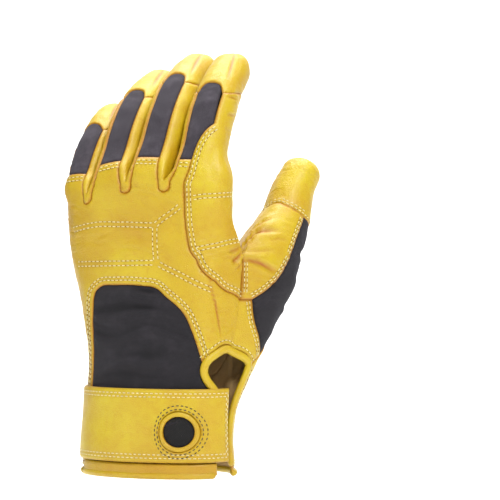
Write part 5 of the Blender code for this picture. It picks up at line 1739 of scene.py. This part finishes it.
def stitches(name, lines, material, length, radius, between=False):
    """One small spindle carried to each stitch's place, or to the hole between two stitches."""
    centres, ways, ups = [], [], []
    pitch = (STITCH_LENGTH if between else length) + STITCH_GAP
    for points, normals in lines:
        reach = reach_along(points)
        count = int(reach[-1] / pitch)
        if count < 2:
            continue
        middle = (np.arange(count - between) + 0.5 + 0.5 * between) * reach[-1] / count
        fore = between_rows(middle + length / 2, reach, points)
        centres.append(between_rows(middle, reach, points))
        ways.append(fore - between_rows(middle - length / 2, reach, points))
        ups.append(between_rows(middle, reach, normals))
    centre, way = np.vstack(centres), unit(np.vstack(ways))
    side = unit(np.cross(way, np.vstack(ups)))
    along, girth, height = (SPINDLE * (length, radius, radius)).T[:, :, None]
    angle = np.arange(SPINDLE_SIDES) * 2 * math.pi / SPINDLE_SIDES
    local = stack(along, np.cos(angle) * girth, np.sin(angle) * girth + height).reshape(-1, 3)
    body = centre[:, None]
    for axis, direction in enumerate((way, side, np.cross(side, way))):
        body = body + local[None, :, axis : axis + 1] * direction[:, None]
    quads = grid_quads(len(SPINDLE), SPINDLE_SIDES, round_columns=True)
    ringed = np.arange(SPINDLE_SIDES)
    fan = np.column_stack([np.zeros(SPINDLE_SIDES - 2, int), ringed[1:-1], ringed[2:]])
    cap = fan[:, ::-1] + (len(SPINDLE) - 1) * SPINDLE_SIDES
    one = np.vstack([quads[:, [0, 2, 1]], quads[:, [0, 3, 2]], fan, cap])
    faces = (np.arange(len(centre))[:, None, None] * len(local) + one[None]).reshape(-1, 3)
    mesh_piece(name, body.reshape(-1, 3), faces, material)


def settled(points, normals, surfaces, pieces):
    """The line's points moved out to the nearest finished surface of its panels, and lifted."""
    skin = np.vstack([start for name, start, _ in surfaces if name in pieces])
    finished = np.vstack([end for name, _, end in surfaces if name in pieces])
    low, high = points.min(0) - LINE_MARGIN, points.max(0) + LINE_MARGIN
    close = ((skin > low) & (skin < high)).all(1)
    skin, finished = skin[close], finished[close]
    if not len(skin):
        return points[:0], normals[:0]
    moved = np.empty_like(points)
    gaps = np.empty(len(points))
    for first in range(0, len(points), CHUNK):
        part = slice(first, first + CHUNK)
        gap = ((points[part, None] - skin[None]) ** 2).sum(2)
        nearest = np.argsort(gap, axis=1)[:, :4]
        weight = 1 / (np.take_along_axis(gap, nearest, 1) + 1e-9)
        weight /= weight.sum(1, keepdims=True)
        rise = ((finished[nearest] - skin[nearest]) * normals[part][:, None]).sum(2)
        out = (rise * weight).sum(1) + STITCH_LIFT
        moved[part] = points[part] + normals[part] * out[:, None]
        gaps[part] = np.sqrt(gap.min(1))
    kept = gaps < STITCH_REACH
    return moved[kept], normals[kept]


def settled_rows(rows, surfaces):
    """The stitched rows settled on their panels, without those that end up too short to sew."""
    found = [settled(points, normals, surfaces, pieces) for points, normals, pieces in rows]
    return [row for row in found if len(row[0]) > SHORTEST_ROW]


SURFACES = []
ROWS = []
FOLDS = []


def build_panels(*names):
    """Builds the panels whose names start with one of these."""
    if not ROWS:
        ROWS.extend(stitch_rows())
        FOLDS.extend(crease_lines())
    for panel in panel_list():
        if panel[0].startswith(names):
            build_panel(*panel)
    return {"FINISHED"}


class GLOVE_OT_finger_fabrics(bpy.types.Operator):
    """Builds the dark fabric on the backs of the fingers."""

    bl_idname = "glove.finger_fabrics"
    bl_label = "Finger fabrics"

    def execute(self, context):
        return build_panels("finger_back")


class GLOVE_OT_finger_leathers(bpy.types.Operator):
    """Builds the fingers' pads, caps and side strips."""

    bl_idname = "glove.finger_leathers"
    bl_label = "Finger leathers"

    def execute(self, context):
        return build_panels("finger_pad", "fingertip", "finger_strip")


class GLOVE_OT_hand_leathers(bpy.types.Operator):
    """Builds the leather of the back and palm and the raised patches on it."""

    bl_idname = "glove.hand_leathers"
    bl_label = "Hand leathers"

    def execute(self, context):
        return build_panels("back_panel", "palm_panel", "index_patch", "palm_patch", "thenar_panel")


class GLOVE_OT_thumb_leathers(bpy.types.Operator):
    """Builds the thumb's saddle patch and cap."""

    bl_idname = "glove.thumb_leathers"
    bl_label = "Thumb leathers"

    def execute(self, context):
        return build_panels("thumb_saddle", "thumb_cap")


class GLOVE_OT_soft_panels(bpy.types.Operator):
    """Builds the soft fabric of the wrist and the thumb's gusset."""

    bl_idname = "glove.soft_panels"
    bl_label = "Soft panels"

    def execute(self, context):
        return build_panels("thumb_gusset", "wrist_panel")


class GLOVE_OT_stitching(bpy.types.Operator):
    """Sews the rows of stitches along the seams, with a dark spindle sunk between each two as the
    painted shade of a needle's hole.
    """

    bl_idname = "glove.stitching"
    bl_label = "Stitching"

    def execute(self, context):
        size = sizes()
        lines = settled_rows(ROWS, SURFACES)
        stitches("seam_stitches", lines, pale_thread(), size.stitch_length, size.thread_radius)
        sunk = [(points - normals * HOLE_SINK, normals) for points, normals in lines]
        # Painted shade: dark spindles sunk in the needle holes between the stitches.
        hole = thread_material("needle_hole", NEEDLE_HOLE_SHADE)
        stitches("needle_holes", sunk, hole, HOLE_LENGTH, HOLE_RADIUS, True)
        return {"FINISHED"}


# Bindings and the cuff's band. Rises are shares of the web's height.
WRIST_LEFT = WRIST_TOP_EDGE[-1][0]
SLIT_LEFT, SLIT_RIGHT = SLIT_LEFT_EDGE[0][0], SLIT_RIGHT_EDGE[-1][0]
BINDING_ENDS = (0.375, 0.045)
BINDING_OVERLAP, BINDING_SINK, BINDING_FLATNESS = 0.2 * MM, 0.15 * MM, 0.8
BINDING_PASSES = (16, 6)
BAND_LOW, BACK_BAND_TOP, PALM_BAND_TOP = 0.016, 0.071, 0.046
BACK_BAND_HEIGHT, PALM_BAND_HEIGHT = 0.75 * MM, -0.25 * MM
BAND_SHADE = 0.35


def eased(points, passes):
    """The line with its corners eased: each point but the ends drawn to its neighbours' mean."""
    points = points.copy()
    for _ in range(passes):
        points[1:-1] = points[1:-1] / 2 + (points[:-2] + points[2:]) / 4
    return points


def band_outline(turns, top):
    """The outline of a band of the cuff: its low edge along the turns, and its top edge back."""
    return [*[(turn, BAND_LOW) for turn in turns], *[(turn, top) for turn in turns[::-1]]]


def cuff_band():
    """The leather band of the cuff's lower edge, under the strap and above the hem on the palm."""
    back = np.array([WRIST_LEFT - 0.02, *np.linspace(1.8, 4.8, 5), SLIT_LEFT])
    palm = np.linspace(SLIT_RIGHT, 12 + WRIST_LEFT - 0.03, 16)
    for name, turns, band_top, top in (
        ("cuff_band_back", back, BACK_BAND_TOP, BACK_BAND_HEIGHT),
        ("cuff_band_palm", palm, PALM_BAND_TOP, PALM_BAND_HEIGHT),
    ):
        surface = surface_of([("hand", band_outline(turns, band_top))])
        points, _, _, edges = surface
        turned = 0.4 * MM * turned_edge(rim_gap(points, edges), 1.0 * MM)
        height = top - turned + 0.12 * MM * ripple(points, 12 * MM, 31)
        # Painted shade: each band evenly darker, standing for the shade along the cuff's lower
        # edge.
        shell(name, surface, height, LEATHER, np.full(len(points), BAND_SHADE), golden())


def rolled_hem(name, turns, inward):
    """A hem of the cuff: a round cord at the cuff's edge, drawn in to the middle of the leather."""
    rise = HEM_RADIUS / WEB_HEIGHT
    points, normals = on_skin("hand", [(turn, rise) for turn in turns], TUBE_STEP)
    swept(name, points - normals * inward, normals, HEM_RADIUS)


class GLOVE_OT_edging(bpy.types.Operator):
    """Carries the slit's binding and the cuff's hems round their edges, and lays the band."""

    bl_idname = "glove.edging"
    bl_label = "Bindings and hems"

    def execute(self, context):
        slit = [*SLIT_LEFT_EDGE, *SLIT_TOP_EDGE[1:], *SLIT_RIGHT_EDGE[1:]]
        points, normals = on_skin("hand", slit, TUBE_STEP)
        rises = points[:, 2] / WEB_HEIGHT
        before_top = np.arange(len(points)) < int(np.argmax(points[:, 2]))
        keep = np.where(before_top, rises > BINDING_ENDS[0], rises > BINDING_ENDS[1])
        first, then = BINDING_PASSES
        points, normals = eased(points[keep], first), eased(normals[keep], first)
        points = eased(shifted(points, normals, BINDING_RADIUS - BINDING_OVERLAP), then)
        points = points - normals * BINDING_SINK
        swept("slit_binding_finished", points, normals, BINDING_RADIUS, BINDING_FLATNESS)
        cuff_band()
        back = np.linspace(WRIST_LEFT - 0.10, SLIT_LEFT - 0.05, 9)
        palm = np.linspace(SLIT_RIGHT, 12 + WRIST_LEFT - 0.12, 15)
        rolled_hem("cuff_hem_back_finished", back, FABRIC / 2)
        rolled_hem("cuff_hem_palm_finished", palm, LEATHER / 2)
        return {"FINISHED"}


# Strap and eyelet
STRAP_EDGE_DROP, STRAP_EDGE_WIDTH = 0.8 * MM, 1.4 * MM
STRAP_SEWN_WIDTH = 0.7 * MM
STRAP_INSET, STRAP_ROW_GAP = 2.6 * MM, 1.9 * MM
STRAP_TURN_LENGTH = 22 * MM
RING_RADII = (12.6 * MM, 14.6 * MM)
RING_STITCH_LENGTH, RING_THREAD_RADIUS = 1.7 * MM, 0.28 * MM
EYELET_ROUNDING = 0.9 * MM
EYELET_SIDES = 96


def strap_rows():
    """The strap's stitched rows: two along each long edge and two along each end."""
    left, right = STRAP_TURNS
    low, high = STRAP_RISES
    middle = (low + high) / 2
    turns = np.linspace(1.5, 5.0, 6)
    rows = []
    for distance in (STRAP_INSET, STRAP_INSET + STRAP_ROW_GAP):
        rise, turn = distance / WEB_HEIGHT, distance / STRAP_TURN_LENGTH
        start, end, bottom, top = left + turn, right - turn, low + rise, high - rise
        rows.append([(start + 0.15, bottom), *[(t, bottom) for t in turns], (end, bottom)])
        rows.append([(start, top), *[(t, top) for t in turns], (end, top)])
        rows.append([(start, top), (start, middle), (start, bottom + 0.04)])
        rows.append([(end, top), (end, middle), (end, bottom)])
    return [on_skin("hand", row, ROW_STEP) for row in rows]


class GLOVE_OT_strap(bpy.types.Operator):
    """Lays the closing strap over the wrist, with its stitches, its raised eyelet and mesh."""

    bl_idname = "glove.strap"
    bl_label = "Strap"

    def execute(self, context):
        left, right = STRAP_TURNS
        low, high = STRAP_RISES
        turn_corner, rise_corner = STRAP_CORNER
        outline = [(left + turn_corner, low), (right, low), (right, high), (left, high)]
        outline += [(left, low + rise_corner), (left + turn_corner * 0.3, low + rise_corner * 0.3)]
        hole = circle_places(EYELET_CLEAR_RADIUS + EYELET_WIDTH)
        surface = surface_of([("hand", outline, hole)])
        points, normals, _, edges = surface
        gap = rim_gap(points, edges)
        height = -STRAP_EDGE_DROP * turned_edge(gap, STRAP_EDGE_WIDTH)
        height += 0.25 * MM * ripple(points, 30 * MM, 21)
        # Painted shade at the strap's turned edge and along its stitched rows.
        painted_shade = 0.4 * bell(gap, STRAP_SEWN_WIDTH)
        lines = strap_rows()
        for line, _ in lines:
            thin = line[::2]
            gap, _, _ = gap_to(points, thin[:-1], thin[1:])
            height -= SEWN_DEPTH * bell(gap, STRAP_SEWN_WIDTH)
            painted_shade = np.maximum(painted_shade, 0.25 * bell(gap, SEWN_SHADE_WIDTH))
        far = np.linalg.norm(points - hand(*EYELET_PLACE), axis=1)
        for radius in RING_RADII:
            height -= SEWN_DEPTH * bell(far - radius, STRAP_SEWN_WIDTH)
        height += LAYER_GAP + STRAP_THICKNESS
        made = shell("strap_finished", surface, height, 0.0, painted_shade, golden(), LAYER_GAP)
        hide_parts("strap")
        laid = [("strap", points, points + normals * height[:, None])]
        rows = settled_rows([(*line, ("strap",)) for line in lines], laid)
        size = sizes()
        stitches("strap_stitches", rows, pale_thread(), size.stitch_length, size.thread_radius)
        rings = []
        for radius in RING_RADII:
            places = circle_places(radius, 72)
            rings.append((*on_skin("hand", [*places, places[0]], ROW_STEP), ("strap",)))
        dark = thread_material("dark_thread", DARK_THREAD)
        rows = settled_rows(rings, laid)
        stitches("eyelet_stitches", rows, dark, RING_STITCH_LENGTH, RING_THREAD_RADIUS)
        eyelet_ring()
        pieces = bpy.data.objects
        disc = next(piece for piece in pieces if piece.get("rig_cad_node") == "eyelet_mesh")
        disc.data.materials.clear()
        disc.data.materials.append(fabric("eyelet_weave", EYELET_WEAVE, 420.0, 0.6))
        return {"FINISHED"}


def circle_places(radius, count=48):
    """Places of a circle on the hand's skin round the eyelet's middle."""
    turn, rise = EYELET_PLACE
    step = 1e-3
    across = (hand(turn + step, rise) - hand(turn - step, rise)) / (2 * step)
    along = (hand(turn, rise + step) - hand(turn, rise - step)) / (2 * step)
    angles = np.arange(count) * 2 * math.pi / count
    turns = turn + np.cos(angles) * radius / np.linalg.norm(across)
    rises = rise + np.sin(angles) * radius / np.linalg.norm(along)
    return list(zip(turns.tolist(), rises.tolist()))


def eyelet_ring():
    """The eyelet's raised collar: a rounded profile carried round a circle on the skin."""
    inside, outside = EYELET_CLEAR_RADIUS, EYELET_CLEAR_RADIUS + EYELET_WIDTH
    low = LAYER_GAP + STRAP_THICKNESS + EYELET_RISE - EYELET_ROUNDING
    share = np.linspace(0, math.pi, 11)
    radii = (inside + outside) / 2 - np.cos(share) * (outside - inside) / 2
    radii = np.concatenate([radii, [outside, inside]])
    heights = np.concatenate([low + np.sin(share) * EYELET_ROUNDING, [LAYER_GAP, LAYER_GAP]])
    places = np.array([circle_places(radius, EYELET_SIDES) for radius in radii])
    points = hand(places[..., 0], places[..., 1])
    normals = outward("hand", places.reshape(-1, 2)).reshape(points.shape)
    body = (points + normals * heights[:, None, None]).reshape(-1, 3)
    faces = halved(grid_quads(len(radii), EYELET_SIDES, True, True))
    if np.linalg.det(body[faces]).sum() < 0:
        faces = faces[:, ::-1]
    # Painted shade: darker on the collar's inner wall, and a little darker over the rest.
    painted_shade = np.repeat(np.where(np.arange(len(radii)) < 2, 0.6, 0.15), EYELET_SIDES)
    ring = mesh_piece("strap_eyelet_finished", body, faces, golden(), painted_shade)
    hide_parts("strap_eyelet")


# Stage. The photograph's size and the place of the frame's origin in it, in pixels.
PHOTO_SIZE = 500
ORIGIN_PIXEL = (157, 472)
PIXEL = 0.575 * MM
PHOTO_TURN = math.radians(20.0)
RIGHT = np.array([math.cos(PHOTO_TURN), math.sin(PHOTO_TURN), 0.0])
AHEAD = np.array([-math.sin(PHOTO_TURN), math.cos(PHOTO_TURN), 0.0])
UP = np.array([0.0, 0.0, 1.0])
AIM = (
    RIGHT * (PHOTO_SIZE / 2 - ORIGIN_PIXEL[0]) * PIXEL
    + UP * (ORIGIN_PIXEL[1] - PHOTO_SIZE / 2) * PIXEL
    + AHEAD * 10 * MM
)
LENS, SENSOR = 150.0, 36.0
FLOOR = -0.035
SWEEP_HALF_WIDTH, SWEEP_FRONT, SWEEP_BACK, SWEEP_BEND, SWEEP_TOP = 2.5, -3.0, 0.9, 0.6, 3.0
WORLD_STRENGTH = 0.36
# Columns: name, place to the right, ahead and up, size, power in watts, how far ahead it aims.
LAMPS = (
    ("key", (0.38, -0.80, 0.85), 0.34, 11.8, 0.0),
    ("fill", (-1.0, -0.8, 0.3), 0.7, 3.4, 0.0),
    ("top", (0.05, 0.15, 1.0), 0.7, 5.5, 0.0),
    ("backdrop", (0.1, 0.45, 1.25), 1.0, 24.0, 1.3),
)


def placed(name, data):
    """A new object of the scene for a camera, a lamp or a mesh."""
    made = bpy.data.objects.new(name, data)
    bpy.context.scene.collection.objects.link(made)
    return made


def add_camera():
    """The camera at the photograph's angle, far enough to see as much as the photograph does."""
    data = bpy.data.cameras.new("studio_camera")
    data.lens = LENS
    data.sensor_width = SENSOR
    data.clip_end = 20.0
    camera = placed("studio_camera", data)
    camera.location = AIM - AHEAD * PHOTO_SIZE * PIXEL * LENS / SENSOR
    camera.rotation_euler = (math.radians(90), 0, PHOTO_TURN)
    bpy.context.scene.camera = camera


def add_sweep():
    """A pale paper sweep: a floor that bends up through a quarter circle into a wall."""
    bend = np.linspace(0, math.pi / 2, 17)
    curve = zip(SWEEP_BACK + SWEEP_BEND * np.sin(bend), FLOOR + SWEEP_BEND * (1 - np.cos(bend)))
    wall = SWEEP_BACK + SWEEP_BEND
    profile = np.array([(SWEEP_FRONT, FLOOR), *curve, (wall, SWEEP_TOP)])
    run = np.linspace(-SWEEP_HALF_WIDTH, SWEEP_HALF_WIDTH, 3)
    grid = run[:, None, None] * RIGHT + profile[None, :, :1] * AHEAD + profile[None, :, 1:] * UP
    faces = grid_quads(len(run), len(profile))[:, [0, 3, 2, 1]]
    mesh = bpy.data.meshes.new("studio_sweep")
    mesh.from_pydata(grid.reshape(-1, 3).tolist(), [], faces.tolist())
    mesh.polygons.foreach_set("use_smooth", np.ones(len(faces), bool))
    paper = {"Base_Color": (0.98, 0.98, 0.98, 1.0), "Roughness": 0.95, "Specular_IOR_Level": 0.1}
    mesh.materials.append(new_material("pale_paper", **paper)[0])
    placed("studio_sweep", mesh)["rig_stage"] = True


def add_lights():
    """A dim white world and the soft lamps."""
    world = bpy.data.worlds.new("studio_world")
    world.use_nodes = True
    background = world.node_tree.nodes["Background"]
    background.inputs["Color"].default_value = (1.0, 1.0, 1.0, 1.0)
    background.inputs["Strength"].default_value = WORLD_STRENGTH
    bpy.context.scene.world = world
    for label, (right, ahead, up), size, power, reach in LAMPS:
        data = bpy.data.lights.new(label + "_light", "AREA")
        data.size = size
        data.energy = power
        lamp = placed(label + "_light", data)
        lamp.location = right * RIGHT + ahead * AHEAD + up * UP
        way = Vector(AIM + AHEAD * reach) - Vector(lamp.location)
        lamp.rotation_euler = way.to_track_quat("-Z", "Y").to_euler()


class GLOVE_OT_stage(bpy.types.Operator):
    """Sets a plain pale sweep, soft studio lights and the camera at the photograph's angle."""

    bl_idname = "glove.stage"
    bl_label = "Stage"

    def execute(self, context):
        add_camera()
        add_sweep()
        add_lights()
        context.scene.view_settings.view_transform = "Standard"
        return {"FINISHED"}


class GLOVE_PT_panel(bpy.types.Panel):
    """The glove's sizes, colours and building steps."""

    bl_idname = "GLOVE_PT_panel"
    bl_label = "Climbing glove"
    bl_space_type = "VIEW_3D"
    bl_region_type = "UI"
    bl_category = "Glove"

    def draw(self, context):
        for group in (context.scene.glove_sizes, context.scene.glove_colours):
            for key in group.__annotations__:
                self.layout.prop(group, key)
        for step in STEPS:
            self.layout.operator(step)


STEPS = (
    "glove.finger_fabrics",
    "glove.finger_leathers",
    "glove.hand_leathers",
    "glove.thumb_leathers",
    "glove.soft_panels",
    "glove.stitching",
    "glove.edging",
    "glove.strap",
    "glove.stage",
)
CLASSES = (
    GloveSizes,
    GloveColours,
    GLOVE_OT_finger_fabrics,
    GLOVE_OT_finger_leathers,
    GLOVE_OT_hand_leathers,
    GLOVE_OT_thumb_leathers,
    GLOVE_OT_soft_panels,
    GLOVE_OT_stitching,
    GLOVE_OT_edging,
    GLOVE_OT_strap,
    GLOVE_OT_stage,
    GLOVE_PT_panel,
)


def register():
    """Registers the add-on's classes and its properties."""
    for kind in CLASSES:
        bpy.utils.register_class(kind)
    bpy.types.Scene.glove_sizes = PointerProperty(type=GloveSizes)
    bpy.types.Scene.glove_colours = PointerProperty(type=GloveColours)


def unregister():
    """Takes back what register added."""
    del bpy.types.Scene.glove_sizes
    del bpy.types.Scene.glove_colours
    for kind in reversed(CLASSES):
        bpy.utils.unregister_class(kind)


def main():
    """Builds the glove and its stage."""
    register()
    bpy.ops.glove.finger_fabrics()
    bpy.ops.glove.finger_leathers()
    bpy.ops.glove.hand_leathers()
    bpy.ops.glove.thumb_leathers()
    bpy.ops.glove.soft_panels()
    bpy.ops.glove.stitching()
    bpy.ops.glove.edging()
    bpy.ops.glove.strap()
    bpy.ops.glove.stage()
    boxes = {"cad": CAD_BOX, "visual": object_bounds()}
    {key: [list(corner) for corner in box] for key, box in boxes.items()}


if __name__ == "__main__":
    main()
